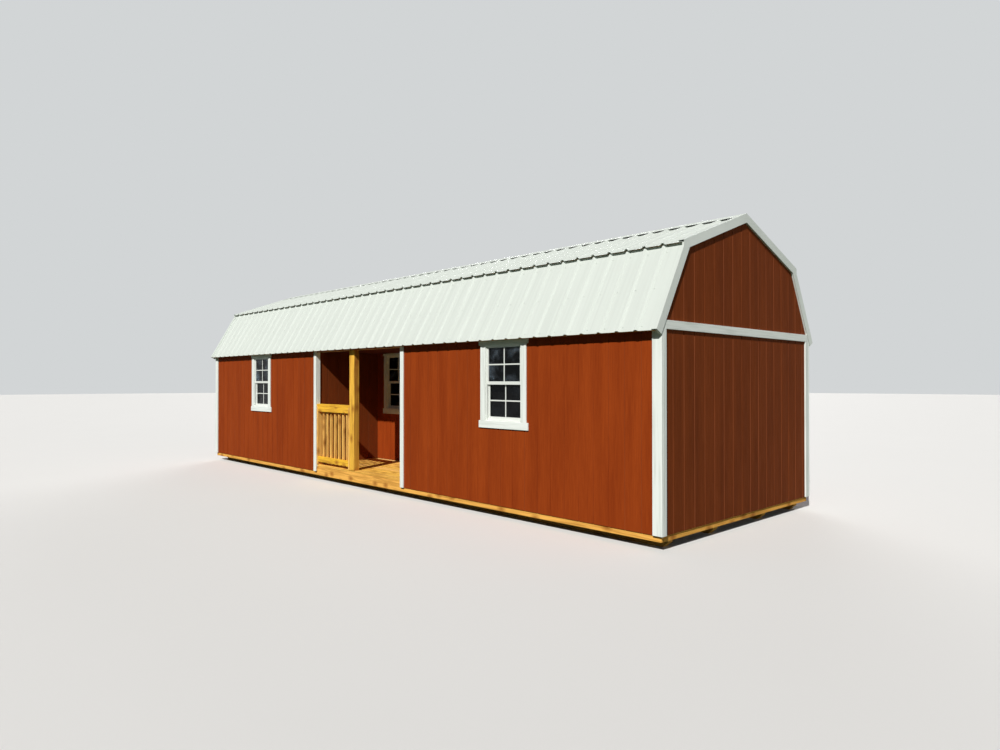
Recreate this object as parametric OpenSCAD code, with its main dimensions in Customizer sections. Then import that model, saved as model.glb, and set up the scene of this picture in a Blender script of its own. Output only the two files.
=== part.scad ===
// Red gambrel barn with a recessed porch, timber framed on skids.
// Millimetres. X runs along the porch wall, -Y is the porch side, +Z is up.
// The origin is on the ground at the centre of the plan.

/* [Body] */
// Length over the siding of the two gable walls
body_len = 10970; // [9600:10:12500]
// Width over the siding of the two long walls
body_w = 3410; // [3200:10:3800]
// Thickness of the grooved siding sheets
siding_t = 11; // [9:0.5:16]
// Spacing of the grooves in the siding
groove_pitch = 203.2; // [150:0.1:305]
// Width of a groove
groove_w = 10; // [6:1:20]
// Depth of a groove
groove_d = 4.5; // [2:0.5:6]
// Height of the siding's lower edge above the underside of the floor rim
siding_drop = 63; // [40:1:90]

/* [Floor] */
// Height and width of a square skid
skid_size = 89; // [70:1:140]
// Distance of the outer skids' middle from the outer face of the rim
skid_inset = 234; // [150:1:400]
// Distance of the inner skids from the middle of the floor
skid_inner_y = 570; // [300:10:900]
// How far a skid's end stands back from the gable siding
skid_setback = 60; // [20:5:200]
// Length of the slanted cut under a skid's end
skid_bevel = 60; // [5:5:80]
// Height of that cut
skid_cut = 53; // [10:1:60]
// Depth of the floor joists and rim boards
joist_d = 140; // [120:5:190]
// Spacing of the floor joists
joist_pitch = 406; // [300:1:610]
// Thickness of the plywood floor
floor_t = 19; // [15:1:25]

/* [Timber] */
// Thickness of framing timber
timber_t = 38; // [35:1:45]
// Width of wall studs, plates and rafters
stud_w = 89; // [80:1:100]
// Spacing of the wall studs
stud_pitch = 406; // [300:1:610]
// Spacing of the roof trusses
truss_pitch = 610; // [400:1:800]
// Thickness of the plywood gussets on the trusses
gusset_t = 11; // [9:1:15]
// Length of a gusset along each member
gusset_len = 260; // [150:10:320]

/* [Roof] */
// Height of the roof's lower edge above the underside of the floor rim
eave_h = 2068; // [2060:1:2300]
// How far the roof's lower edge stands out from the siding
eave_out = 102; // [90:1:180]
// Pitch of the steep lower slopes in degrees
lower_pitch = 60.4; // [56:0.1:65]
// Pitch of the upper slopes in degrees
upper_pitch = 20; // [15:0.1:28]
// Distance from the siding in to the change of slope
knee_in = 430; // [300:1:500]
// Width of the rafter's seat on the wall plate
rafter_seat = 79; // [60:1:88]
// Thickness of the roof boarding
sheath_t = 11; // [9:1:18]
// Thickness of the roof sheets, over that of the real metal
metal_t = 1.5; // [1:0.1:3]
// Spacing of the ribs in the roof sheets
rib_pitch = 228.6; // [180:0.1:305]
// Height of a rib
rib_h = 19; // [12:1:25]
// Width of a rib at its foot
rib_foot = 60; // [40:1:80]
// Width of a rib at its top
rib_top = 24; // [10:1:34]
// How far the upper sheets run past the change of slope
sheet_lap = 60; // [45:1:95]
// How far the sheets run past the rake boards
sheet_side = 6; // [0:1:15]
// Width of each side of the ridge cap
cap_w = 190; // [100:5:220]

/* [Trim] */
// Thickness of the white trim boards
trim_t = 19; // [15:1:25]
// Width of the corner boards on the long walls
wide_trim = 114; // [100:1:130]
// Width of the rake boards
rake_w = 76; // [60:1:120]
// Width of the front corner boards on the gable walls
side_trim_front = 64; // [50:1:100]
// Width of the other narrow trim boards
narrow_trim = 89; // [60:1:100]
// Width of the front corner boards of the porch
porch_trim = 76; // [60:1:100]
// Height of the gable band's lower edge above the roof's lower edge
band_rise = 17; // [0:1:40]

/* [Porch] */
// Width of the porch between the siding of its side walls
porch_w = 2438; // [2340:2:2700]
// Middle of the porch, from the middle of the front
porch_x = -27; // [-300:1:300]
// Depth of the porch, from the siding in front to that at the back
porch_depth = 1219; // [1000:1:1400]
// Depth of the beam over the porch's open front
beam_d = 143.5; // [130:0.5:170]
// Width of the post's front
post_w = 140; // [89:1:160]
// Depth of the post
post_d = 89; // [80:1:100]
// Middle of the post, from the middle of the porch
post_x = -107; // [-250:1:0]
// Thickness of the porch deck boards
deck_t = 38; // [25:1:40]
// Width of a deck board
deck_board = 140; // [90:1:150]
// Gap between deck boards
deck_gap = 5; // [3:1:10]
// How far the first deck board stands out from the rim
deck_nose = 2; // [0:1:20]
// Height of the railing's top above the underside of the floor rim
rail_top = 1190; // [900:1:1250]
// Height of a rail's face
rail_h = 89; // [60:1:140]
// Gap between the deck and the bottom rail
rail_gap = 50; // [20:1:100]
// Side of a square baluster
baluster = 38; // [30:1:45]
// Number of balusters
balusters = 7; // [5:1:8]

/* [Windows] */
// Width of a window frame
win_w = 610; // [500:1:700]
// Height of a window frame
win_h = 926; // [800:1:1000]
// Distance of the window frames' top below the underside of the porch beam
win_head_gap = 42; // [30:1:120]
// Distance of the front windows from the middle of the porch
win_x = 3300; // [2200:10:4000]
// Gap between the porch window's sill board and the left side of the porch
porch_win_side = 190; // [120:1:230]
// Width of the frame's face
frame_face = 12; // [10:1:30]
// Depth of the frame behind the face of the siding
frame_depth = 75; // [68:1:90]
// Width of the sash bars
sash_bar = 20; // [16:1:40]
// Height of the rails where the two sashes meet
meeting_rail = 38; // [30:1:50]
// Thickness of a sash
sash_t = 24; // [18:1:26]
// How far the upper sash stands behind the face of the siding
sash_back = 8; // [5:1:15]
// Thickness of the glass
glass_t = 4; // [3:1:8]
// How far the sill and head boards run past the side boards
trim_ear = 30; // [0:1:40]

/* [Door] */
// Width of the door leaf
door_w = 813; // [700:1:830]
// Height of the board over the door, which reaches up to the porch ceiling
door_head = 66; // [40:1:150]
// Gap between the door's boards and the right side of the porch
door_side = 93; // [70:1:130]
// Thickness of the door leaf
door_t = 40; // [35:1:45]
// Thickness of the door's jambs
jamb_t = 18; // [15:1:22]
// Width of the stops that the closed door lies against
door_stop = 12; // [10:1:20]

/* [Hidden] */

// Gap left in a nailed joint, so that each timber stays a piece of its own
joint = 0.3;
// Clearance round a window or door frame in its hole
fit = 3;
// Gap between the foot of the porch siding and the deck
foot_gap = 18;
// Slant of a groove's sides
groove_side = 1;
// Gap between the sheets' upper ends and the ridge
ridge_gap = 8;
// How far a window frame stands out from the siding
frame_proud = 2;
// Depth of the door's sunk panels
panel_d = 6;
// Width of the upright members between the door's panels
door_stile = 114;
// Foot and head of the door's rows of panels, as shares of its height
panel_rows = [[0.10, 0.42], [0.47, 0.79], [0.84, 0.94]];

// Colours
red = "#903818";
trim_white = "#f0f3e8";
sheet_white = "#e6ebe4";
raw_wood = "#c89a5c";
treated = "#e8a830";
dark_glass = "#1c2226";

half_len = body_len / 2;
half_w = body_w / 2;
frame_x = half_len - siding_t;
frame_y = half_w - siding_t;
base_z = skid_size + joint;
siding_z = base_z + siding_drop;
joist_top = base_z + joist_d;
floor_z = joist_top + joint + floor_t;
deck_z = joist_top + joint + deck_t;

// The porch is drawn about its own middle
porch_half = porch_w / 2;
porch_frame_x = porch_half + siding_t;
porch_back_y = -half_w + porch_depth;
porch_back_frame_y = porch_back_y + siding_t;

// Roof lines, for the half with y above 0. A distance is measured square to the slope,
// inwards from the outer face of the roof sheets.
eave_y = half_w + eave_out;
eave_z = base_z + eave_h;
knee_y = half_w - knee_in;
knee_z = eave_z + (eave_y - knee_y) * tan(lower_pitch);
ridge_z = knee_z + knee_y * tan(upper_pitch);
board_top = metal_t + joint;
board_under = board_top + sheath_t;
rafter_top = board_under + joint;
rafter_under = rafter_top + stud_w;
down_lower = [cos(lower_pitch), -sin(lower_pitch)];
down_upper = [cos(upper_pitch), -sin(upper_pitch)];
out_lower = [sin(lower_pitch), cos(lower_pitch)];
out_upper = [sin(upper_pitch), cos(upper_pitch)];

function eave(d) = [eave_y, eave_z] - d * out_lower;
function knee(d) = [knee_y, knee_z] - d * (out_lower + out_upper) / (1 + out_lower * out_upper);
function ridge(d) = [0, ridge_z - d / cos(upper_pitch)];
function lower_z(y, d) = eave_z + (eave_y - y) * tan(lower_pitch) - d / cos(lower_pitch);
function lower_y(z, d) = eave_y - (z - eave_z + d / cos(lower_pitch)) / tan(lower_pitch);
function upper_z(y, d) = ridge_z - y * tan(upper_pitch) - d / cos(upper_pitch);
function roof_z(y, d) = min(lower_z(y, d), upper_z(y, d));

plate_z = lower_z(frame_y - rafter_seat, rafter_under) - joint;
roof_half = half_len + trim_t + sheet_side;
band_z = eave_z + band_rise;
corner_top = band_z + narrow_trim;
rake_end_y = knee_y + (sheet_lap - sheet_side) * cos(upper_pitch);

beam_z = plate_z - beam_d;
win_top = beam_z - win_head_gap;
win_z = win_top - win_h;
porch_win_x = -porch_half + porch_win_side + trim_ear + narrow_trim + win_w / 2;
door_top = beam_z - door_head;
door_z = deck_z + 2 * fit;
door_h = door_top - jamb_t - fit - door_z;
door_x = porch_half - door_side - narrow_trim - fit - door_w / 2;

// Evenly spaced places from a to b, no further apart than pitch
function spread(a, b, pitch) = let (n = max(1, ceil((b - a) / pitch)))
    [for (i = [0 : n]) a + (b - a) * i / n];

// A box between two corners
module block(low, high) {
    translate(low) cube(high - low);
}

// A shape in y and z, drawn out along x from a to b
module along_x(a, b) {
    translate([a, 0, 0]) rotate([90, 0, 90]) linear_extrude(b - a) children();
}

// The children and their mirror image across the ridge line
module both_slopes() {
    children();
    mirror([0, 1, 0]) children();
}

// The children and their mirror image across the middle of the length
module both_ends() {
    children();
    mirror([1, 0, 0]) children();
}

// The children moved to the middle of the porch
module at_porch() {
    translate([porch_x, 0, 0]) children();
}

// Plan outline of a siding sheet with its face on y = 0, from x = a to b
function siding_outline(a, b) =
    concat([[b, 0], [b, siding_t], [a, siding_t], [a, 0]],
        [for (x = [a + groove_pitch : groove_pitch : b - groove_w]) each [
            [x - groove_w / 2, 0],
            [x - groove_w / 2 + groove_side, groove_d],
            [x + groove_w / 2 - groove_side, groove_d],
            [x + groove_w / 2, 0]]]);

// Upright siding sheet from x = a to b and z = low to high, facing -Y on y = 0
module siding_sheet(a, b, low, high) {
    translate([0, 0, low]) linear_extrude(high - low) polygon(siding_outline(a, b));
}

// Hole for a window frame at x, through a wall that faces -Y on y = 0
module window_hole(x) {
    block([x - win_w / 2 - fit, -1, win_z - fit],
          [x + win_w / 2 + fit, stud_w + siding_t + 1, win_top + fit]);
}

// Stud wall from x = a to b on y = 0 to stud_w, with holes [middle, half width, foot, top].
// A hole whose foot is at the floor has no sill.
module stud_wall(a, b, low, high, holes = []) {
    plate_top = high - 2 * timber_t;
    plate_spans = [for (h = holes) if (h[2] <= low + timber_t) h];
    // Bottom plate, left out across a doorway
    cuts = concat([a], [for (h = plate_spans) each [h[0] - h[1] - joint, h[0] + h[1] + joint]], [b]);
    for (i = [0 : 2 : len(cuts) - 2])
        block([cuts[i], 0, low], [cuts[i + 1], stud_w, low + timber_t]);
    // Double top plate
    block([a, 0, plate_top], [b, stud_w, high]);
    // Common studs, left out where a hole's own studs stand
    for (x = spread(a + timber_t / 2, b - timber_t / 2, stud_pitch))
        if (len([for (h = holes) if (abs(x - h[0]) < h[1] + 2 * timber_t) h]) == 0)
            stud(x, low + timber_t, plate_top);
    for (h = holes) {
        for (side = [-1, 1])
            stud(h[0] + side * (h[1] + timber_t / 2 + joint), low + timber_t, plate_top);
        block([h[0] - h[1], 0, h[3]], [h[0] + h[1], stud_w, plate_top - joint]);
        if (h[2] > low + timber_t) {
            block([h[0] - h[1], 0, h[2] - timber_t], [h[0] + h[1], stud_w, h[2]]);
            stud(h[0], low + timber_t, h[2] - timber_t);
        }
    }
}

// One stud centred on x, with a joint gap at its head and foot
module stud(x, low, high) {
    block([x - timber_t / 2, 0, low + joint], [x + timber_t / 2, stud_w, high - joint]);
}

function window_gap(x) = [x, win_w / 2 + 2 * fit, win_z - 2 * fit, win_top + 2 * fit];

// Skids with slanted ends, lying along the building
module skids() {
    reach = half_len - skid_setback;
    outer = frame_y - skid_inset;
    color(treated)
    for (y = [-outer, -skid_inner_y, skid_inner_y, outer])
        translate([0, y + skid_size / 2, 0]) rotate([90, 0, 0]) linear_extrude(skid_size)
            polygon([[-reach + skid_bevel, 0], [reach - skid_bevel, 0], [reach, skid_cut],
                     [reach, skid_size], [-reach, skid_size], [-reach, skid_cut]]);
}

// Rim boards round the floor: the long ones cover the ends of the short ones
module rim_boards() {
    color(treated) {
        both_slopes()
            block([-frame_x, frame_y - timber_t, base_z], [frame_x, frame_y, joist_top]);
        both_ends()
            block([frame_x - timber_t, -frame_y + timber_t + joint, base_z],
                  [frame_x, frame_y - timber_t - joint, joist_top]);
    }
}

// Joists between the rim boards
module floor_joists() {
    places = spread(-frame_x + timber_t / 2, frame_x - timber_t / 2, joist_pitch);
    reach = frame_y - timber_t - joint;
    color(treated)
    for (i = [1 : len(places) - 2])
        block([places[i] - timber_t / 2, -reach, base_z], [places[i] + timber_t / 2, reach, joist_top]);
}

// Plywood floor inside, in three sheets round the porch
module floor() {
    low = joist_top + joint;
    left = porch_x - porch_frame_x;
    right = porch_x + porch_frame_x;
    color(raw_wood) {
        block([-frame_x, -frame_y, low], [left - joint, frame_y, floor_z]);
        block([left, porch_back_frame_y, low], [right, frame_y, floor_z]);
        block([right + joint, -frame_y, low], [frame_x, frame_y, floor_z]);
    }
}

// Deck boards of the porch, running along the building
module porch_deck() {
    front = -frame_y - deck_nose;
    back = porch_back_frame_y - deck_gap;
    count = floor((back - front + deck_gap) / (deck_board + deck_gap));
    step = deck_board + deck_gap;
    color(treated) at_porch() {
        for (i = [0 : count - 1]) {
            reach = i == 0 ? porch_half - trim_t - fit : porch_half - fit;
            block([-reach, front + i * step, joist_top + joint],
                  [reach, front + i * step + deck_board, deck_z]);
        }
        // Last board, ripped to what is left
        if (back - front - count * step > 2 * deck_gap)
            block([-porch_half + fit, front + count * step, joist_top + joint],
                  [porch_half - fit, back, deck_z]);
    }
}

// Framing of the front wall on the right of a porch whose middle is at x = middle
module front_frame(middle) {
    translate([0, -frame_y, 0])
        stud_wall(middle + porch_frame_x, frame_x, floor_z + joint, plate_z,
                  [window_gap(middle + win_x)]);
}

module front_wall_frame() {
    color(raw_wood) {
        front_frame(porch_x);
        mirror([1, 0, 0]) front_frame(-porch_x);
    }
}

module rear_wall_frame() {
    color(raw_wood)
    translate([0, frame_y - stud_w, 0])
        stud_wall(-frame_x, frame_x, floor_z + joint, plate_z);
}

// Gable wall's framing, with studs on the plate up to the end truss
module gable_frame() {
    reach = frame_y - stud_w - joint;
    color(raw_wood)
    translate([frame_x, 0, 0]) rotate([0, 0, 90]) {
        stud_wall(-reach, reach, floor_z + joint, plate_z);
        places = spread(-reach, reach, stud_pitch);
        for (i = [1 : len(places) - 2]) {
            y = abs(places[i]) + timber_t / 2;
            block([places[i] - timber_t / 2, 0, plate_z + joint],
                  [places[i] + timber_t / 2, timber_t, roof_z(y, rafter_under) - joint]);
        }
    }
}

module right_gable_frame() gable_frame();
module left_gable_frame() mirror([1, 0, 0]) gable_frame();

// Framing of the porch's back wall and two side walls
module porch_wall_frame() {
    side_start = -frame_y + stud_w + joint;
    side_end = porch_back_frame_y + stud_w;
    door_gap = [door_x, door_w / 2 + jamb_t + 2 * fit, floor_z, door_top + fit];
    color(raw_wood) at_porch() {
        translate([0, porch_back_frame_y, 0])
            stud_wall(-porch_frame_x + joint, porch_frame_x - joint, floor_z + joint, plate_z,
                      [window_gap(porch_win_x), door_gap]);
        both_ends() translate([porch_frame_x + stud_w, 0, 0]) rotate([0, 0, 90])
            stud_wall(side_start, side_end, floor_z + joint, plate_z);
    }
}

// Siding of the front wall on the right of a porch whose middle is at x = middle
module front_siding(middle) {
    color(red)
    translate([0, -half_w, 0]) difference() {
        siding_sheet(middle + porch_half, frame_x - joint, siding_z, lower_z(half_w, rafter_top));
        window_hole(middle + win_x);
    }
}

module front_siding_right() front_siding(porch_x);
module front_siding_left() mirror([1, 0, 0]) front_siding(-porch_x);

module rear_siding() {
    color(red)
    mirror([0, 1, 0]) translate([0, -half_w, 0])
        siding_sheet(-frame_x + joint, frame_x - joint, siding_z, lower_z(half_w, rafter_top));
}

// Siding of a gable wall, cut to the roof's outline
module gable_siding() {
    top = knee(rafter_top);
    edge_z = lower_z(half_w, rafter_top);
    color(red)
    intersection() {
        translate([half_len, 0, 0]) rotate([0, 0, 90])
            siding_sheet(-half_w, half_w, siding_z, ridge_z);
        along_x(frame_x - 1, half_len + 1)
            polygon([[half_w, siding_z - 1], [half_w, edge_z], top, ridge(rafter_top),
                     [-top[0], top[1]], [-half_w, edge_z], [-half_w, siding_z - 1]]);
    }
}

module right_gable_siding() gable_siding();
module left_gable_siding() mirror([1, 0, 0]) gable_siding();

// Siding of the porch's side wall on the left, which faces +X
module porch_side_siding() {
    color(red)
    translate([-porch_half, 0, 0]) rotate([0, 0, 90])
        siding_sheet(-frame_y + joint, porch_back_y - joint, deck_z + foot_gap, beam_z);
}

module porch_left_siding() at_porch() porch_side_siding();
module porch_right_siding() at_porch() mirror([1, 0, 0]) porch_side_siding();

// Siding of the porch's back wall, with its window and doorway
module porch_back_siding() {
    door_half = door_w / 2 + jamb_t + fit;
    color(red)
    at_porch() translate([0, porch_back_y, 0]) difference() {
        siding_sheet(-porch_frame_x + joint, porch_frame_x - joint, deck_z + foot_gap, beam_z);
        window_hole(porch_win_x);
        block([door_x - door_half, -1, deck_z], [door_x + door_half, siding_t + 1, door_top]);
    }
}

// Beam over the porch's open front, as deep as the studs
module porch_beam() {
    color(raw_wood)
    at_porch() block([-porch_frame_x + joint, -frame_y, beam_z + joint],
          [porch_frame_x - joint, -frame_y + stud_w, plate_z]);
}

// Siding on the face of the porch beam
module porch_beam_siding() {
    color(red)
    at_porch() translate([0, -half_w, 0])
        siding_sheet(-porch_half + joint, porch_half - joint, beam_z + joint,
                     lower_z(half_w, rafter_top));
}

module porch_post() {
    color(treated)
    at_porch() block([post_x - post_w / 2, -half_w, deck_z + joint],
                     [post_x + post_w / 2, -half_w + post_d, beam_z]);
}

// Railing between the left corner board and the post: a flat cap on two uprights,
// two rails on edge between them and the balusters behind the rails
module porch_railing() {
    left = -porch_half + trim_t + joint;
    right = post_x - post_w / 2 - joint;
    face = -half_w;
    cap_under = base_z + rail_top - timber_t;
    low = left + timber_t + joint;
    high = right - timber_t - joint;
    clear = (high - low - balusters * baluster) / (balusters + 1);
    color(treated) at_porch() {
        block([left, face, cap_under], [right, face + post_d, cap_under + timber_t]);
        for (x = [left, right - timber_t])
            block([x, face, deck_z + joint], [x + timber_t, face + post_d, cap_under - joint]);
        for (z = [deck_z + rail_gap, cap_under - joint - rail_h])
            block([low, face, z], [high, face + timber_t, z + rail_h]);
        for (i = [0 : balusters - 1])
            translate([low + clear + i * (baluster + clear), face + timber_t + joint, deck_z + rail_gap])
                cube([baluster, baluster, cap_under - joint - deck_z - rail_gap]);
    }
}

// Ceiling sheet of the porch, nailed up under its joists
module porch_ceiling() {
    color(red)
    at_porch() block([-porch_frame_x + joint, -frame_y + stud_w + joint, beam_z + joint],
          [porch_frame_x - joint, porch_back_frame_y - joint, beam_z + siding_t]);
}

module porch_ceiling_joists() {
    low = beam_z + siding_t + joint;
    color(raw_wood)
    at_porch() for (x = spread(-porch_frame_x + timber_t, porch_frame_x - timber_t, joist_pitch))
        block([x - timber_t / 2, -frame_y + stud_w + joint, low],
              [x + timber_t / 2, porch_back_frame_y - joint, low + stud_w]);
}

// Places of the trusses along the building
truss_places = spread(-frame_x + timber_t / 2, frame_x - timber_t / 2, truss_pitch);

// Gambrel trusses: two lower and two upper rafters each, with mitred joints
module roof_trusses() {
    seat = plate_z + joint;
    color(raw_wood)
    for (x = truss_places) both_slopes() {
        along_x(x - timber_t / 2, x + timber_t / 2)
            polygon([[frame_y, seat], [frame_y, lower_z(frame_y, rafter_top)],
                     knee(rafter_top) + joint * down_lower, knee(rafter_under) + joint * down_lower,
                     [lower_y(seat, rafter_under), seat]]);
        along_x(x - timber_t / 2, x + timber_t / 2)
            polygon([knee(rafter_top) - joint * down_upper, ridge(rafter_top) + joint * down_upper,
                     ridge(rafter_under) + joint * down_upper, knee(rafter_under) - joint * down_upper]);
    }
}

// Plywood gussets on both faces of each truss, on the inner face only at the ends
module truss_gussets() {
    knee_plate = [knee(rafter_top) + gusset_len * down_lower, knee(rafter_top),
                  knee(rafter_top) - gusset_len * down_upper,
                  knee(rafter_under) - gusset_len * down_upper,
                  knee(rafter_under) + gusset_len * down_lower];
    slope_top = ridge(rafter_top) + gusset_len * down_upper;
    slope_under = ridge(rafter_under) + gusset_len * down_upper;
    ridge_plate = [slope_top, ridge(rafter_top), [-slope_top[0], slope_top[1]],
                   [-slope_under[0], slope_under[1]], slope_under];
    color(raw_wood)
    for (x = truss_places, side = [-1, 1])
        if (abs(x + side * timber_t) < frame_x) {
            near = x + side * (timber_t / 2 + joint);
            far = near + side * gusset_t;
            along_x(min(near, far), max(near, far)) polygon(ridge_plate);
            both_slopes() along_x(min(near, far), max(near, far)) polygon(knee_plate);
        }
}

// Boarding on the trusses, one sheet a slope
module roof_boarding() {
    color(raw_wood)
    both_slopes() {
        along_x(-half_len, half_len)
            polygon([eave(board_top), knee(board_top) + joint * down_lower,
                     knee(board_under) + joint * down_lower, eave(board_under)]);
        along_x(-half_len, half_len)
            polygon([knee(board_top) - joint * down_upper, ridge(board_top) + joint * down_upper,
                     ridge(board_under) + joint * down_upper, knee(board_under) - joint * down_upper]);
    }
}

// Section of a ribbed sheet, as heights over the boarding: outer face first, then inner
rib_count = floor((roof_half - rib_foot) / rib_pitch);
function rib_points(thick) = [for (i = [-rib_count : rib_count]) each [
    [i * rib_pitch - rib_foot / 2 - thick, 0],
    [i * rib_pitch - rib_top / 2 - thick, rib_h],
    [i * rib_pitch + rib_top / 2 + thick, rib_h],
    [i * rib_pitch + rib_foot / 2 + thick, 0]]];
sheet_section = concat(
    [[-roof_half, 0]], [for (p = rib_points(0)) p], [[roof_half, 0]],
    [[roof_half, -metal_t]],
    [for (p = rib_points(-metal_t)) [-p[0], p[1] - metal_t]],
    [[-roof_half, -metal_t]]);

// Ribbed sheet whose top end is at point p of the section, running down the pitch
module ribbed_sheet(p, pitch, run) {
    translate([0, p[0], p[1]]) rotate([-pitch, 0, 0]) rotate([-90, 0, 0])
        linear_extrude(run) mirror([0, 1, 0]) polygon(sheet_section);
}

// The lower sheets start where their ribs clear the upper sheets
lower_start = (rib_h + metal_t + 1) / tan(lower_pitch - upper_pitch);
lower_run = norm([eave_y - knee_y, knee_z - eave_z]) - lower_start;
upper_run = norm([knee_y, ridge_z - knee_z]) - ridge_gap + sheet_lap;

// Lower sheet, notched at its upper corners round the ends of the rake boards
module lower_roof() {
    color(sheet_white)
    difference() {
        ribbed_sheet([knee_y, knee_z] + lower_start * down_lower, lower_pitch, lower_run);
        both_ends()
            block([half_len - joint, knee_y, eave_z], [half_len + body_w, rake_end_y + joint, ridge_z]);
    }
}

module upper_roof() {
    color(sheet_white)
    ribbed_sheet([0, ridge_z] + ridge_gap * down_upper, upper_pitch, upper_run);
}

module rear_lower_roof() lower_roof();
module rear_upper_roof() upper_roof();
module front_lower_roof() mirror([0, 1, 0]) lower_roof();
module front_upper_roof() mirror([0, 1, 0]) upper_roof();

// Folded cap over the ridge, resting on the ribs
module ridge_cap() {
    under = ridge(-rib_h - joint);
    top = ridge(-rib_h - joint - metal_t);
    edge_under = under + cap_w * down_upper;
    edge_top = top + cap_w * down_upper;
    color(sheet_white)
    along_x(-roof_half, roof_half)
        polygon([edge_under, edge_top, top, [-edge_top[0], edge_top[1]],
                 [-edge_under[0], edge_under[1]], under]);
}

// Rake boards of one gable: the upper pair is cut plumb where the slope changes
module rake_boards() {
    near = board_top;
    far = near + rake_w;
    under_z = upper_z(rake_end_y, far);
    start_y = rake_end_y + joint;
    color(trim_white)
    both_slopes() {
        along_x(half_len, half_len + trim_t)
            polygon([ridge(near) + joint * down_upper, [rake_end_y, upper_z(rake_end_y, near)],
                     [rake_end_y, under_z], knee(far), ridge(far) + joint * down_upper]);
        along_x(half_len, half_len + trim_t)
            polygon([[start_y, lower_z(start_y, near)], eave(near), eave(far),
                     knee(far) - [0, 2 * joint], [start_y, under_z - 2 * joint]]);
    }
}

module right_rake_boards() rake_boards();
module left_rake_boards() mirror([1, 0, 0]) rake_boards();

// The place of the lower rake boards and what lies outside them, cut out of the trim below
module rake_room() {
    far = board_top + rake_w + joint;
    low = eave(far);
    both_slopes()
        along_x(half_len - joint, half_len + body_w)
            polygon([low, knee(far), [eave_y, knee_z], [eave_y, low[1]]]);
}

// Board across each gable wall at the foot of the roof, between the rake boards
module gable_bands() {
    color(trim_white)
    both_ends() difference() {
        block([half_len, -half_w, band_z], [half_len + trim_t, half_w, corner_top]);
        rake_room();
    }
}

// Corner boards: those on the long walls cover the edges of those on the gable walls
module corner_boards() {
    side_top = band_z - joint;
    color(trim_white)
    both_ends() difference() {
        union() {
            both_slopes()
                block([half_len + trim_t - wide_trim, half_w, siding_z],
                      [half_len + trim_t, half_w + trim_t, corner_top]);
            block([half_len, -half_w + joint, siding_z],
                  [half_len + trim_t, -half_w + side_trim_front, side_top]);
            block([half_len, half_w - narrow_trim, siding_z],
                  [half_len + trim_t, half_w - joint, side_top]);
        }
        rake_room();
    }
}

// Corner boards of the porch's open front
module porch_corner_boards() {
    inner = porch_half - trim_t;
    color(trim_white)
    at_porch() both_ends() {
        block([inner, -half_w - trim_t, siding_z], [inner + porch_trim, -half_w, corner_top]);
        block([inner, -half_w + joint, joist_top + joint],
              [porch_half, -half_w + side_trim_front, beam_z]);
    }
}

// The children at each window, with x = 0 at its middle and y = 0 on the siding's face
module at_windows() {
    at_front_windows() children();
    at_porch_window() children();
}

module at_front_windows() {
    for (x = [-win_x, win_x]) translate([porch_x + x, -half_w, 0]) children();
}

module at_porch_window() {
    at_porch() translate([porch_win_x, porch_back_y, 0]) children();
}

// Four boards round a window: sill and head run past the side boards
module window_boards(head) {
    half = win_w / 2;
    ear = half + narrow_trim + trim_ear;
    block([-ear, -trim_t, win_z - narrow_trim], [ear, 0, win_z]);
    block([-ear, -trim_t, win_top], [ear, 0, win_top + head]);
    for (side = [-1, 1])
        translate([side * (half + narrow_trim / 2), -trim_t / 2, (win_z + win_top) / 2])
            cube([narrow_trim, trim_t, win_h - 2 * joint], center = true);
}

// The porch window's head board stops at the porch ceiling
module window_trim() {
    color(trim_white) {
        at_front_windows() window_boards(narrow_trim);
        at_porch_window() window_boards(min(narrow_trim, win_head_gap - joint));
    }
}

// Ring of a frame or sash: half width, z of foot and top, face widths at side, foot and top
module ring(half, low, high, front, back, side, foot, top) {
    difference() {
        block([-half, front, low], [half, back, high]);
        block([-half + side, front - 1, low + foot], [half - side, back + 1, high - top]);
    }
}

sash_half = win_w / 2 - frame_face - joint;
sash_low = win_z + frame_face + joint;
sash_high = win_top - frame_face - joint;
sash_mid = (sash_low + sash_high) / 2;
upper_back = sash_back + sash_t;
lower_front = upper_back + 1;

module window_frames() {
    color(trim_white)
    at_windows()
        ring(win_w / 2, win_z, win_top, -frame_proud, frame_depth,
             frame_face, frame_face, frame_face);
}

// Two sashes a window: the lower one stands behind the upper one
module window_sashes() {
    color(trim_white)
    at_windows() {
        ring(sash_half, sash_mid - meeting_rail / 2, sash_high, sash_back, upper_back,
             sash_bar, meeting_rail, sash_bar);
        ring(sash_half, sash_low, sash_mid + meeting_rail / 2, lower_front, lower_front + sash_t,
             sash_bar, meeting_rail, meeting_rail);
    }
}

// One pane a sash
module window_glass() {
    half = sash_half - sash_bar - joint;
    color(dark_glass)
    at_windows() {
        pane(half, sash_mid + meeting_rail / 2, sash_high - sash_bar, sash_back + sash_t / 2);
        pane(half, sash_low + meeting_rail, sash_mid - meeting_rail / 2, lower_front + sash_t / 2);
    }
}

module pane(half, low, high, middle) {
    block([-half, middle - glass_t / 2, low + joint], [half, middle + glass_t / 2, high - joint]);
}

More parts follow.
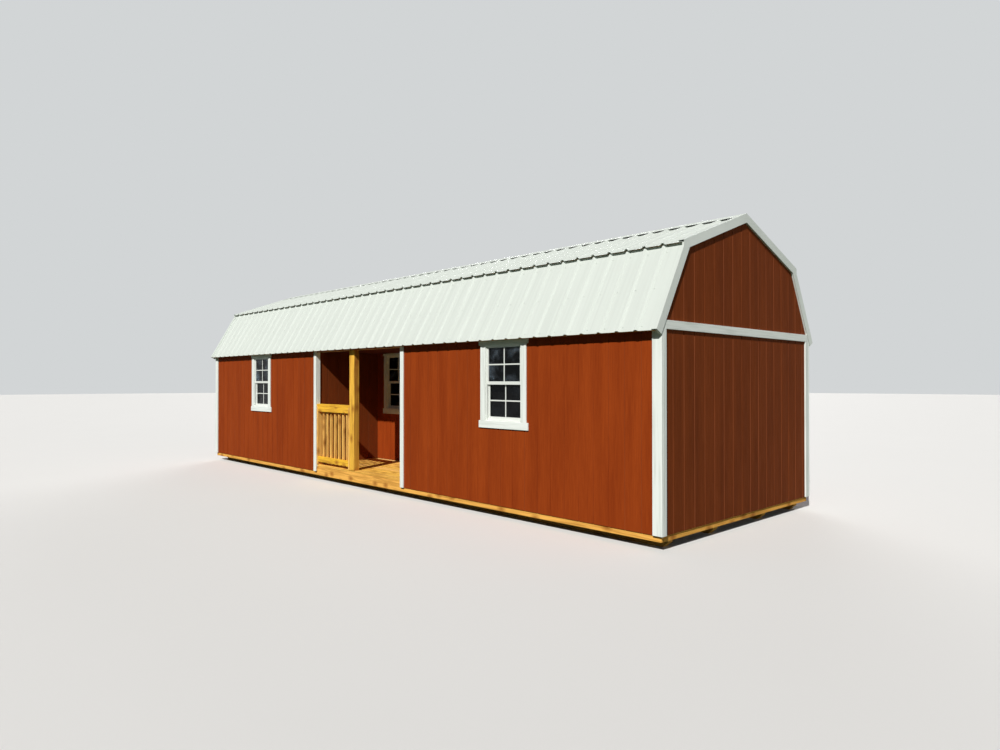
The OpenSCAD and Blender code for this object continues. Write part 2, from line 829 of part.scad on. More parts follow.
// Jambs, head and threshold of the door, with stops behind the leaf
module door_frame() {
    outer = door_w / 2 + jamb_t + fit;
    inner = door_w / 2 + fit;
    depth = siding_t + stud_w;
    stop_front = siding_t + door_t + joint;
    stop_top = door_top - jamb_t - joint;
    stop_under = stop_top - door_stop;
    stop_foot = deck_z + fit + joint;
    color(trim_white)
    at_porch() translate([door_x, porch_back_y, 0]) {
        for (side = [-1, 1])
            translate([side * (outer + inner - joint) / 2, depth / 2, (deck_z + door_top) / 2 - joint])
                cube([jamb_t - joint, depth, door_top - deck_z - 3 * joint], center = true);
        block([-inner + joint, 0, door_top - jamb_t], [inner - joint, depth, door_top - joint]);
        block([-inner + joint, siding_t + joint, floor_z + joint],
              [inner - joint, depth, deck_z + fit]);
        block([-inner + joint, stop_front, stop_under], [inner - joint, depth, stop_top]);
        for (x = [-inner + joint, inner - joint - door_stop])
            block([x, stop_front, stop_foot], [x + door_stop, depth, stop_under - joint]);
    }
}

// White boards round the doorway
module door_trim() {
    inner = door_w / 2 + fit;
    outer = inner + narrow_trim;
    color(trim_white)
    at_porch() translate([door_x, porch_back_y - trim_t, 0]) {
        for (side = [-1, 1])
            translate([side * (inner + outer) / 2, trim_t / 2, (deck_z + door_top) / 2])
                cube([narrow_trim, trim_t, door_top - deck_z - 4 * joint], center = true);
        block([-outer, 0, door_top], [outer, trim_t - joint, beam_z]);
    }
}

// Door leaf with six sunk panels
module door_leaf() {
    panel_w = (door_w - 3 * door_stile) / 2;
    color(trim_white)
    at_porch() translate([door_x, porch_back_y + siding_t, door_z]) difference() {
        block([-door_w / 2, 0, 0], [door_w / 2, door_t, door_h]);
        for (side = [-1, 1], row = panel_rows)
            translate([side * (panel_w + door_stile) / 2 - panel_w / 2, -1, row[0] * door_h])
                cube([panel_w, 1 + panel_d, (row[1] - row[0]) * door_h]);
    }
}

skids();
rim_boards();
floor_joists();
floor();
porch_deck();
front_wall_frame();
rear_wall_frame();
left_gable_frame();
right_gable_frame();
porch_wall_frame();
front_siding_left();
front_siding_right();
rear_siding();
left_gable_siding();
right_gable_siding();
porch_left_siding();
porch_right_siding();
porch_back_siding();
porch_beam();
porch_beam_siding();
porch_post();
porch_railing();
porch_ceiling();
porch_ceiling_joists();
roof_trusses();
truss_gussets();
roof_boarding();
front_lower_roof();
front_upper_roof();
rear_upper_roof();
rear_lower_roof();
ridge_cap();
left_rake_boards();
right_rake_boards();
gable_bands();
corner_boards();
porch_corner_boards();
window_trim();
window_frames();
window_sashes();
window_glass();
door_frame();
door_trim();
door_leaf();
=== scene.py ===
"""Looks of a red gambrel barn with a recessed porch: its boards, sheets, windows, door and studio.

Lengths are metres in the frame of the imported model: X along the porch wall, -Y the porch side,
Z up, with the origin on the ground at the centre of the plan.
"""

import math
import random

import bmesh
import bpy
from mathutils import Matrix, Vector


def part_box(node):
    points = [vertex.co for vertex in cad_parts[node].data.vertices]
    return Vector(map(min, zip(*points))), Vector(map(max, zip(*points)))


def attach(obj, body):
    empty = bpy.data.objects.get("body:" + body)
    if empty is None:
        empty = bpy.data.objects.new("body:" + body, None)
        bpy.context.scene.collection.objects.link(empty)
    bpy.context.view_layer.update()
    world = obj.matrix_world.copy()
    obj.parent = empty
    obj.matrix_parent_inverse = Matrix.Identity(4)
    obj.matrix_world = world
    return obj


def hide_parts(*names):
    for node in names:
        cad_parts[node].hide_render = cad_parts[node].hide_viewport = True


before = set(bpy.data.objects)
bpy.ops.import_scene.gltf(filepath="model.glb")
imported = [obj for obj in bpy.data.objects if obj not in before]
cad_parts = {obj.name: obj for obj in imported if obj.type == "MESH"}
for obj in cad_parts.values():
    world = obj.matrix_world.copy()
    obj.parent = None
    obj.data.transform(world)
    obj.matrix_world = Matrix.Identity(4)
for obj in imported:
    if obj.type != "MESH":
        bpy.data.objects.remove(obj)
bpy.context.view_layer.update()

bl_info = {
    "name": "Gambrel barn looks",
    "version": (1, 0, 0),
    "blender": (4, 5, 0),
    "location": "3D View > Sidebar > Barn",
    "description": "Dresses the barn's timber, siding, roof, windows and door, and lights it",
    "category": "Object",
}

# Treated timber: the ranges of tone of its lying and of its upright boards, where 0 is yellow,
# 0.5 is tan and 1 is orange
ANY_TONE = ((0.0, 1.0), (0.0, 1.0))
TREATED_TONES = {
    "skids": ((0.7, 1.0), (0.7, 1.0)),
    "rim_boards": ((0.75, 0.9), (0.75, 0.9)),
    "floor_joists": ((0.6, 1.0), (0.6, 1.0)),
    "porch_deck": ((0.25, 0.62), (0.25, 0.62)),
    "porch_post": ((0.12, 0.16), (0.12, 0.16)),
    "porch_railing": ((0.0, 0.08), (0.4, 0.6)),
}
# Boards below this tone, the post and the rails, get painted shade on their narrow faces that look
# along the building
YELLOW_TONE = 0.22

FRAMING_NODES = ("front_wall_frame", "rear_wall_frame", "left_gable_frame", "right_gable_frame",
                 "porch_wall_frame", "porch_beam", "porch_ceiling_joists", "roof_trusses")
PLYWOOD_NODES = ("floor", "truss_gussets", "roof_boarding")
WHITE_NODES = ("left_rake_boards", "right_rake_boards", "gable_bands", "corner_boards",
               "porch_corner_boards", "window_trim", "door_frame", "door_trim")
# Walls in the plain barn red, and walls where a darker red is painted shade, as the sun only
# grazes them
PLAIN_SIDING_NODES = ("front_siding_left", "front_siding_right", "rear_siding",
                         "porch_beam_siding", "porch_back_siding", "left_gable_siding")
PAINTED_SHADE_SIDING_NODES = ("right_gable_siding", "porch_left_siding", "porch_right_siding")
ROOF_NODES = ("front_lower_roof", "front_upper_roof", "rear_upper_roof", "rear_lower_roof",
              "ridge_cap")

# Edges of boards that turn by more than this are eased
EASED_ANGLE = math.radians(25)
# The sides of the siding's grooves are the only faces whose normal has this as its larger part
GROOVE_NORMAL, GROOVE_TOLERANCE = 0.976, 0.008
# The painted reflection of the sky on the glass grows from the top of the lower panes to just over
# the upper panes' foot
PAINTED_SKY_HEIGHTS = (1.62, 1.72)

# The roof's section, as in the part's source: the outer face of the sheets, for y above 0
EAVE = Vector((1.807, 2.1573))
KNEE = Vector((1.275, 3.09379))
RIDGE = Vector((0.0, 3.55785))
SHEET_END = 5.510
RIB_PITCH = 0.2286
RIB_HEIGHT = 0.019
SHEET_LAP = 0.060

# Rake flashing: the metal's thickness, how far it stands past the sheets' ends, how far the lower
# piece's leg lies behind the upper piece's, and the gap between the two top legs
FLASHING_METAL = 0.0012
FLASHING_PAST = 0.0014
FLASHING_STEP = 0.0006
FLASHING_GAP = 0.004

# Roof screws: for each slope its top, its foot, and how far from them the first and last rows lie
SCREWED_SLOPES = ((RIDGE, KNEE, 0.30, 0.04), (KNEE, EAVE, 0.12, 0.05))
# How far beside a rib they are, in shares of the ribs' pitch
SCREW_BESIDE_RIB = 0.25
# How far from a board's edges and ends the deck screws stay
DECK_SCREW_INSET = 0.03
# Forms of the screws: the washer's height, the head's radius in shares of the washer's, and the
# head's height
ROOF_SCREW = (0.003, 0.62, 0.006)
DECK_SCREW = (0.001, 0.4, 0.0012)

# Window bars: their gap to the glass and their eased edges
BAR_GAP, BAR_EDGE = 0.0002, 0.0012

# Door fittings, turned forms: (distance along the axis, radius) from end to end
KNOB = ((0, 0.033), (0.004, 0.033), (0.008, 0.028), (0.010, 0.012), (0.032, 0.011),
        (0.038, 0.020), (0.046, 0.026), (0.056, 0.027), (0.062, 0.022), (0.065, 0.010))
BOLT = ((0, 0.030), (0.006, 0.030), (0.012, 0.026), (0.016, 0.020), (0.017, 0.008))
KNOB_HEIGHT, BOLT_HEIGHT, BACKSET = 0.90, 1.05, 0.06
HINGE_LENGTH, HINGE_RADIUS, HINGE_KNUCKLES, KNUCKLE_PITCH = 0.095, 0.007, 5, 0.018
# The hinges' places in shares of the leaf's height, how far below them the hinges begin, and how
# far beside the leaf's edge they stand
HINGE_SHARES, HINGE_BELOW, HINGE_BESIDE = (0.12, 0.5, 0.88), 0.045, 0.0015

# Suns: name, direction towards it, strength, width in degrees and colour. The key light stands
# where the photograph's shadows put the sun. The fill reaches the two walls that it leaves dark,
# and the last one lifts the near gable a little.
SUNS = (("key_light", (0.295, -0.703, 0.647), 4.25, 0.8, (1.0, 0.985, 0.96)),
        ("fill_light", (-0.66, 0.75, 0.1), 2.9, 40, (1.0, 1.0, 1.0)),
        ("gable_light", (1.0, 0.0, 0.05), 0.55, 40, (1.0, 1.0, 1.0)))
SOFT_STRENGTH = 0.06
FLOOR_RADIUS = 90

# The photograph's camera, solved from the building's corners: its place, its turn in degrees from
# looking straight down, and its focal length in widths of the picture
CAMERA_PLACE = (9.2411, -7.4638, 1.670)
CAMERA_TURN = (90.457, 0.010, 46.299)
FOCAL_WIDTHS = 0.68889
SENSOR_WIDTH = 36.0
CLIP_END = 500


def linear(code):
    """Linear colour with alpha 1 from an sRGB hex value."""
    parts = [int(code[i:i + 2], 16) / 255 for i in (1, 3, 5)]
    parts = [c / 12.92 if c <= 0.04045 else ((c + 0.055) / 1.055) ** 2.4 for c in parts]
    return (*parts, 1.0)


def colour(name, description, code):
    """Colour property whose default is written as an sRGB hex value."""
    return bpy.props.FloatVectorProperty(name=name, description=description, size=4, min=0, max=1,
                                         subtype="COLOR", default=linear(code))


def length(name, description, value):
    """Length property in metres."""
    return bpy.props.FloatProperty(name=name, description=description, default=value, min=0,
                                   unit="LENGTH", subtype="DISTANCE")


class BARN_PG_sizes(bpy.types.PropertyGroup):
    """Sizes of the details that the looks add to the barn."""

    board_edge: length("Board edge", "Width of the eased edge of a board", 0.002)
    deck_edge: length("Deck edge", "Width of the eased edge of a deck board", 0.005)
    bar_width: length("Window bar", "Width of the bars in the window sashes", 0.016)
    bar_thickness: length("Bar thickness", "How far a window bar stands out from the glass", 0.005)
    flashing_drop: length("Rake flashing", "How far the metal covers the rake board", 0.079)
    flashing_top: length("Flashing top", "Width of the rake flashing on the roof", 0.065)
    screw_rows: length("Screw rows", "Spacing of the rows of roof screws", 0.41)
    screw_head: length("Roof screw", "Radius of a roof screw's washer", 0.008)
    deck_screw: length("Deck screw", "Radius of a deck screw's head", 0.004)


class BARN_PG_colours(bpy.types.PropertyGroup):
    """Colours of the barn's finishes and of the studio."""

    siding: colour("Siding", "Barn red paint that the sun has bleached", "#9E4417")
    siding_dark: colour("Siding, dark", "Barn red paint where it kept its depth", "#6E240A")
    # The near gable and the porch's side walls take this deeper red as painted shade, since the
    # sun only grazes them; their real paint is the same barn red
    gable: colour("Gable siding", "Deeper red of the near gable and inside the porch", "#7E3D1B")
    gable_dark: colour("Gable siding, dark", "Darker streaks of the deeper red", "#50230E")
    # Painted light: a lighter red on the sides of the grooves, which shows them as pale lines on
    # the near gable and lifts their shade on the long walls
    groove_painted_light: colour("Siding, grooves", "Thin paint on the sides of the grooves", "#8C4D30")
    # Painted shade: the porch ceiling lies in the roof's shade, so it gets a dark brown
    ceiling: colour("Porch ceiling", "Dark stain on the porch ceiling", "#3E1A0B")
    trim: colour("Trim", "White paint of the boards", "#EDF2EC")
    trim_dark: colour("Trim, worn", "White paint where dirt stays in the grain", "#D2D8D0")
    roof: colour("Roof", "White coating of the roof sheets", "#CDD3CC")
    roof_dark: colour("Roof, dusty", "White coating with dust on it", "#C6CCC5")
    pine: colour("Treated pine", "Fresh yellow of the post and the rails", "#FFC63A")
    pine_tan: colour("Treated pine, tan", "Boards that have begun to bleach", "#FFC86C")
    pine_orange: colour("Treated pine, orange", "Boards that took up more of the stain", "#F9AC3C")
    # Also the painted shade on the narrow faces of the post and rails
    pine_grain_and_side_shade: colour("Treated pine, grain", "Darker late wood of the treated pine", "#A86E28")
    knot: colour("Knots", "Knots in the pine", "#9C5C20")
    spruce: colour("Framing", "Planed softwood of the studs", "#D8B27C")
    spruce_dark: colour("Framing, grain", "Late wood of the studs", "#B98B52")
    plywood: colour("Board", "Pale flakes of the floor and roof boards", "#C79A5E")
    plywood_dark: colour("Board, dark", "Dark flakes of the floor and roof boards", "#8F6533")
    vinyl: colour("Vinyl", "White window vinyl", "#DFE2DC")
    glass: colour("Glass", "Dark of the room behind the panes", "#14171A")
    # Painted reflection: the blue-grey of the sky mirrored in the upper panes
    glass_painted_sky: colour("Glass, film", "Film of dust on the upper panes", "#A3B3C2")
    door: colour("Door", "White enamel of the door", "#DDE0D9")
    bronze: colour("Deck screws", "Bronze coated steel", "#8A6A45")
    nickel: colour("Door fittings", "Satin nickel of the knob, bolt and hinges", "#C4BFB2")
    metal_haze: colour("Metal haze", "Haze that handling leaves on metal", "#4B4740")
    stage: colour("Studio floor", "Pale floor of the studio", "#E6E5E2")
    stage_mottle: colour("Studio floor, mottle", "Slightly darker patches of the floor", "#C9C8C4")
    stage_dark: colour("Studio floor, unseen", "Floor in the light that it throws up", "#3F4E38")
    soft: colour("Soft light", "Cool light from all round", "#B8D0FF")
    wall: colour("Studio wall", "Pale grey behind the barn", "#D2D5D6")


def put(tree, kind, sockets=None, **settings):
    """Add a node; sockets maps its inputs to values or to the outputs that feed them."""
    node = tree.nodes.new(kind)
    for name, value in settings.items():
        setattr(node, name, value)
    for key, value in (sockets or {}).items():
        if isinstance(value, bpy.types.NodeSocket):
            tree.links.new(value, node.inputs[key])
        else:
            node.inputs[key].default_value = value
    return node


def new_material(name):
    """Empty material, its node tree and its output node."""
    material = bpy.data.materials.new(name)
    material.use_nodes = True
    tree = material.node_tree
    tree.nodes.clear()
    return material, tree, tree.nodes.new("ShaderNodeOutputMaterial")


def treated_pine(colours):
    """Pressure treated yellow pine, rough from the saw: grain and knots run along each board."""
    material, tree, output = new_material("treated_yellow_pine")
    grain = put(tree, "ShaderNodeAttribute", attribute_name="grain").outputs["Vector"]
    tone = put(tree, "ShaderNodeAttribute", attribute_name="tone").outputs["Fac"]
    # Growth rings 5 mm apart across the board and drawn out over 300 mm along it
    rings = put(tree, "ShaderNodeMapping", {0: grain, 3: (3.3, 190, 190)}).outputs[0]
    streaks = put(tree, "ShaderNodeTexNoise", {"Vector": rings, "Scale": 1.0, "Detail": 5.0,
                                               "Roughness": 0.62, "Distortion": 0.7}).outputs[0]
    # Knots about 60 mm across that fade at the edges, in half of the cells of 250 by 170 mm. The
    # cells lie aslant in the board's section, so that each of its long faces cuts them.
    cells = put(tree, "ShaderNodeMapping", {0: grain, 2: (math.radians(45), 0, 0),
                                            3: (4.0, 8.5, 8.5)}).outputs[0]
    knots = put(tree, "ShaderNodeTexVoronoi", {"Vector": cells, "Scale": 1.0},
                voronoi_dimensions="2D")
    ring = put(tree, "ShaderNodeMapRange", {0: knots.outputs["Distance"], 1: 0.05, 2: 0.36,
                                            3: 0.8, 4: 0.0}).outputs[0]
    pick = put(tree, "ShaderNodeSeparateColor", {0: knots.outputs["Color"]}).outputs[0]
    chosen = put(tree, "ShaderNodeMapRange", {0: pick, 1: 0.48, 2: 0.54}).outputs[0]
    knot = put(tree, "ShaderNodeMath", {0: ring, 1: chosen}, operation="MULTIPLY").outputs[0]
    # A board's tone runs from fresh yellow over tan to orange
    bleached = put(tree, "ShaderNodeMapRange", {0: tone, 2: 0.5}).outputs[0]
    fresh = put(tree, "ShaderNodeMix", {0: bleached, 6: colours.pine, 7: colours.pine_tan},
                data_type="RGBA").outputs[2]
    share = put(tree, "ShaderNodeMapRange", {0: tone, 1: 0.6}).outputs[0]
    board = put(tree, "ShaderNodeMix", {0: share, 6: fresh, 7: colours.pine_orange},
                data_type="RGBA").outputs[2]
    band = put(tree, "ShaderNodeMapRange",
               {0: streaks, 1: 0.45, 2: 0.72, 3: 0.0, 4: 0.5}).outputs[0]
    # Figure of the plain sawn face, 35 mm across and 700 mm long, coarse so that it shows
    face = put(tree, "ShaderNodeMapping", {0: grain, 3: (1.4, 28, 28)}).outputs[0]
    figure = put(tree, "ShaderNodeTexNoise", {"Vector": face, "Scale": 1.0, "Detail": 3.0,
                                              "Distortion": 1.2}).outputs[0]
    broad = put(tree, "ShaderNodeMapRange",
                {0: figure, 1: 0.42, 2: 0.65, 3: 0.0, 4: 0.5}).outputs[0]
    # Painted shade on the narrow faces of the post and rails that look towards the building's
    # ends, where the sun only grazes them
    facing = put(tree, "ShaderNodeNewGeometry").outputs["True Normal"]
    across = put(tree, "ShaderNodeSeparateXYZ", {0: facing}).outputs[0]
    size = put(tree, "ShaderNodeMath", {0: across}, operation="ABSOLUTE").outputs[0]
    young = put(tree, "ShaderNodeMath",
                {0: tone, 1: YELLOW_TONE}, operation="LESS_THAN").outputs[0]
    shaded_side = put(tree, "ShaderNodeMath", {0: size, 1: young}, operation="MULTIPLY").outputs[0]
    edge = put(tree, "ShaderNodeMapRange", {0: shaded_side, 1: 0.8, 2: 0.95, 3: 0.0, 4: 0.6}).outputs[0]
    darker = put(tree, "ShaderNodeMath", {0: band, 1: edge}, operation="MAXIMUM").outputs[0]
    dark = put(tree, "ShaderNodeMath", {0: darker, 1: broad}, operation="ADD",
               use_clamp=True).outputs[0]
    wood = put(tree, "ShaderNodeMix", {0: dark, 6: board, 7: colours.pine_grain_and_side_shade},
               data_type="RGBA").outputs[2]
    shown = put(tree, "ShaderNodeMix",
                {0: knot, 6: wood, 7: colours.knot}, data_type="RGBA").outputs[2]
    bump = put(tree, "ShaderNodeBump", {"Height": streaks, "Strength": 0.35,
                                        "Distance": 0.0015}).outputs[0]
    shader = put(tree, "ShaderNodeBsdfPrincipled",
                 {"Base Color": shown, "Roughness": 0.8, "IOR": 1.45, "Specular IOR Level": 0.2,
                  "Normal": bump})
    tree.links.new(shader.outputs[0], output.inputs[0])
    return material


def framing_spruce(colours):
    """Planed softwood studs and rafters: pale, with soft brown grain and a dull face."""
    material, tree, output = new_material("planed_spruce")
    grain = put(tree, "ShaderNodeAttribute", attribute_name="grain").outputs["Vector"]
    tone = put(tree, "ShaderNodeAttribute", attribute_name="tone").outputs["Fac"]
    # Growth rings 6 mm apart across the timber and drawn out over 400 mm along it
    rings = put(tree, "ShaderNodeMapping", {0: grain, 3: (2.5, 160, 160)}).outputs[0]
    streaks = put(tree, "ShaderNodeTexNoise", {"Vector": rings, "Scale": 1.0, "Detail": 4.0,
                                               "Distortion": 0.5}).outputs[0]
    band = put(tree, "ShaderNodeMapRange", {0: streaks, 1: 0.40, 2: 0.68}).outputs[0]
    worn = put(tree, "ShaderNodeMath",
               {0: tone, 1: 0.35, 2: -0.1}, operation="MULTIPLY_ADD").outputs[0]
    mixed = put(tree, "ShaderNodeMath",
                {0: band, 1: worn}, operation="ADD", use_clamp=True).outputs[0]
    wood = put(tree, "ShaderNodeMix", {0: mixed, 6: colours.spruce, 7: colours.spruce_dark},
               data_type="RGBA").outputs[2]
    bump = put(tree, "ShaderNodeBump", {"Height": streaks, "Strength": 0.2,
                                        "Distance": 0.0008}).outputs[0]
    shader = put(tree, "ShaderNodeBsdfPrincipled",
                 {"Base Color": wood, "Roughness": 0.68, "IOR": 1.45, "Normal": bump})
    tree.links.new(shader.outputs[0], output.inputs[0])
    return material


def flake_board(colours):
    """Oriented strand board, pressed from flakes: a patchwork of pale and dark chips."""
    material, tree, output = new_material("oriented_strand_board")
    grain = put(tree, "ShaderNodeAttribute", attribute_name="grain").outputs["Vector"]
    # Flakes about 90 by 20 mm, with fibres 2.4 mm apart and 40 mm long in them
    placed = put(tree, "ShaderNodeMapping", {0: grain, 3: (11, 50, 50)}).outputs[0]
    flakes = put(tree, "ShaderNodeTexVoronoi", {"Vector": placed, "Scale": 1.0})
    shade = put(tree, "ShaderNodeSeparateColor", {0: flakes.outputs["Color"]}).outputs[0]
    fibre = put(tree, "ShaderNodeMapping", {0: grain, 3: (25, 420, 420)}).outputs[0]
    fine = put(tree, "ShaderNodeTexNoise",
               {"Vector": fibre, "Scale": 1.0, "Detail": 3.0}).outputs[0]
    mixed = put(tree, "ShaderNodeMath", {0: shade, 1: fine}, operation="MULTIPLY").outputs[0]
    wood = put(tree, "ShaderNodeMix", {0: mixed, 6: colours.plywood, 7: colours.plywood_dark},
               data_type="RGBA").outputs[2]
    bump = put(tree, "ShaderNodeBump", {"Height": mixed, "Strength": 0.3,
                                        "Distance": 0.001}).outputs[0]
    shader = put(tree, "ShaderNodeBsdfPrincipled",
                 {"Base Color": wood, "Roughness": 0.8, "IOR": 1.45, "Normal": bump})
    tree.links.new(shader.outputs[0], output.inputs[0])
    return material


def barn_red(colours, name, main, dark):
    """Satin barn paint on wood siding whose face is embossed with an upright grain.

    The sides of the grooves get a lighter red: painted light, so that they show as fine pale
    lines, as where a low sun catches them.
    """
    material, tree, output = new_material(name)
    place = put(tree, "ShaderNodeTexCoord").outputs["Object"]
    # Embossed grain 6 mm apart and 250 mm long, a little coarser than the real one, so it shows
    upright = put(tree, "ShaderNodeMapping", {0: place, 3: (160, 160, 4.0)}).outputs[0]
    grain = put(tree, "ShaderNodeTexNoise", {"Vector": upright, "Scale": 1.0, "Detail": 4.0,
                                             "Roughness": 0.6, "Distortion": 0.4}).outputs[0]
    # Upright bands 150 mm wide and 2 m tall, where the brush or roller laid more paint
    tall = put(tree, "ShaderNodeMapping", {0: place, 3: (6.5, 6.5, 0.5)}).outputs[0]
    bands = put(tree, "ShaderNodeTexNoise",
                {"Vector": tall, "Scale": 1.0, "Detail": 3.0}).outputs[0]
    patch = put(tree, "ShaderNodeMapRange",
                {0: bands, 1: 0.35, 2: 0.65, 3: 0.0, 4: 0.3}).outputs[0]
    lines = put(tree, "ShaderNodeMapRange",
                {0: grain, 1: 0.35, 2: 0.65, 3: 0.0, 4: 0.35}).outputs[0]
    mixed = put(tree, "ShaderNodeMath", {0: patch, 1: lines}, operation="ADD").outputs[0]
    paint = put(tree, "ShaderNodeMix", {0: mixed, 6: main, 7: dark}, data_type="RGBA").outputs[2]
    # Only the sides of the grooves slant a little from the axes; they get the painted light
    facing = put(tree, "ShaderNodeNewGeometry").outputs["True Normal"]
    size = put(tree, "ShaderNodeVectorMath", {0: facing}, operation="ABSOLUTE").outputs[0]
    parts = put(tree, "ShaderNodeSeparateXYZ", {0: size}).outputs
    most = put(tree, "ShaderNodeMath", {0: parts[0], 1: parts[1]}, operation="MAXIMUM").outputs[0]
    side = put(tree, "ShaderNodeMath",
               {0: most, 1: GROOVE_NORMAL, 2: GROOVE_TOLERANCE}, operation="COMPARE").outputs[0]
    # Some grooves get more of the painted light than others
    apart = put(tree, "ShaderNodeMapping", {0: place, 3: (3.1, 3.1, 0.3)}).outputs[0]
    uneven = put(tree, "ShaderNodeTexNoise",
                 {"Vector": apart, "Scale": 1.0, "Detail": 1.0}).outputs[0]
    groove_light_amount = put(tree, "ShaderNodeMapRange",
               {0: uneven, 1: 0.35, 2: 0.65, 3: 0.1, 4: 0.9}).outputs[0]
    groove_light_share = put(tree, "ShaderNodeMath", {0: side, 1: groove_light_amount}, operation="MULTIPLY").outputs[0]
    shown = put(tree, "ShaderNodeMix", {0: groove_light_share, 6: paint, 7: colours.groove_painted_light},
                data_type="RGBA").outputs[2]
    rough = put(tree, "ShaderNodeMapRange", {0: grain, 1: 0.3, 2: 0.7, 3: 0.6, 4: 0.75}).outputs[0]
    bump = put(tree, "ShaderNodeBump", {"Height": grain, "Strength": 0.35,
                                        "Distance": 0.001}).outputs[0]
    shader = put(tree, "ShaderNodeBsdfPrincipled",
                 {"Base Color": shown, "Roughness": rough, "IOR": 1.4, "Specular IOR Level": 0.06,
                  "Normal": bump})
    tree.links.new(shader.outputs[0], output.inputs[0])
    return material


def painted_shade_sheet(colours):
    """Dark brown painted shade on a smooth sheet: dull, with the wood's figure just showing
    through.
    """
    material, tree, output = new_material("porch_ceiling_painted_shade")
    place = put(tree, "ShaderNodeTexCoord").outputs["Object"]
    # Figure of the veneer, 30 mm across and 600 mm long
    along = put(tree, "ShaderNodeMapping", {0: place, 3: (1.6, 33, 33)}).outputs[0]
    figure = put(tree, "ShaderNodeTexNoise",
                 {"Vector": along, "Scale": 1.0, "Detail": 4.0}).outputs[0]
    share = put(tree, "ShaderNodeMapRange",
                {0: figure, 1: 0.35, 2: 0.7, 3: 0.0, 4: 0.35}).outputs[0]
    stain = put(tree, "ShaderNodeMix", {0: share, 6: colours.ceiling, 7: colours.siding_dark},
                data_type="RGBA").outputs[2]
    shader = put(tree, "ShaderNodeBsdfPrincipled",
                 {"Base Color": stain, "Roughness": 0.75, "IOR": 1.4, "Specular IOR Level": 0.1})
    tree.links.new(shader.outputs[0], output.inputs[0])
    return material


def white_paint(colours):
    """Brushed satin white on boards: the grain of the wood still lifts the paint a little."""
    material, tree, output = new_material("white_board_paint")
    grain = put(tree, "ShaderNodeAttribute", attribute_name="grain").outputs["Vector"]
    # Raised grain 5 mm apart and 200 mm long
    along = put(tree, "ShaderNodeMapping", {0: grain, 3: (5, 200, 200)}).outputs[0]
    lines = put(tree, "ShaderNodeTexNoise",
                {"Vector": along, "Scale": 1.0, "Detail": 4.0}).outputs[0]
    # Brush streaks 25 mm apart and half a metre long, where the paint holds some dirt
    brushed = put(tree, "ShaderNodeMapping", {0: grain, 3: (2, 40, 40)}).outputs[0]
    strokes = put(tree, "ShaderNodeTexNoise",
                  {"Vector": brushed, "Scale": 1.0, "Detail": 3.0}).outputs[0]
    worn = put(tree, "ShaderNodeMapRange",
               {0: strokes, 1: 0.45, 2: 0.75, 3: 0.0, 4: 0.9}).outputs[0]
    paint = put(tree, "ShaderNodeMix", {0: worn, 6: colours.trim, 7: colours.trim_dark},
                data_type="RGBA").outputs[2]
    bump = put(tree, "ShaderNodeBump", {"Height": lines, "Strength": 0.2,
                                        "Distance": 0.0006}).outputs[0]
    shader = put(tree, "ShaderNodeBsdfPrincipled",
                 {"Base Color": paint, "Roughness": 0.6, "IOR": 1.45, "Specular IOR Level": 0.3,
                  "Normal": bump})
    tree.links.new(shader.outputs[0], output.inputs[0])
    return material


def coated_steel(name, coat, dusty):
    """White coated steel sheet, roll formed: smooth, slightly wavy, with dust washed down it."""
    material, tree, output = new_material(name)
    place = put(tree, "ShaderNodeTexCoord").outputs["Object"]
    # Streaks of dust 40 mm wide that run down the slope for a metre or more
    down = put(tree, "ShaderNodeMapping", {0: place, 3: (25, 0.8, 0.8)}).outputs[0]
    streaks = put(tree, "ShaderNodeTexNoise",
                  {"Vector": down, "Scale": 1.0, "Detail": 3.0}).outputs[0]
    dust = put(tree, "ShaderNodeMapRange", {0: streaks, 1: 0.4, 2: 0.75}).outputs[0]
    shown = put(tree, "ShaderNodeMix", {0: dust, 6: coat, 7: dusty}, data_type="RGBA").outputs[2]
    # Waves in the pans of the sheet, 250 mm long
    waves = put(tree, "ShaderNodeTexNoise",
                {"Vector": place, "Scale": 4.0, "Detail": 1.0}).outputs[0]
    bump = put(tree, "ShaderNodeBump", {"Height": waves, "Strength": 0.15,
                                        "Distance": 0.004}).outputs[0]
    rough = put(tree, "ShaderNodeMapRange", {0: dust, 3: 0.6, 4: 0.75}).outputs[0]
    shader = put(tree, "ShaderNodeBsdfPrincipled",
                 {"Base Color": shown, "Roughness": rough, "IOR": 1.5, "Specular IOR Level": 0.15,
                  "Normal": bump})
    tree.links.new(shader.outputs[0], output.inputs[0])
    return material


def window_vinyl(colours):
    """Extruded window vinyl: even white with a soft sheen that a little dirt dulls in patches."""
    material, tree, output = new_material("white_window_vinyl")
    place = put(tree, "ShaderNodeTexCoord").outputs["Object"]
    # Patches 70 mm across
    film = put(tree, "ShaderNodeTexNoise",
               {"Vector": place, "Scale": 14.0, "Detail": 3.0}).outputs[0]
    rough = put(tree, "ShaderNodeMapRange", {0: film, 3: 0.45, 4: 0.6}).outputs[0]
    dull = put(tree, "ShaderNodeMapRange", {0: film, 1: 0.5, 2: 0.9, 3: 0.0, 4: 0.4}).outputs[0]
    white = put(tree, "ShaderNodeMix", {0: dull, 6: colours.vinyl, 7: colours.trim_dark},
                data_type="RGBA").outputs[2]
    shader = put(tree, "ShaderNodeBsdfPrincipled",
                 {"Base Color": white, "Roughness": rough, "IOR": 1.53})
    tree.links.new(shader.outputs[0], output.inputs[0])
    return material


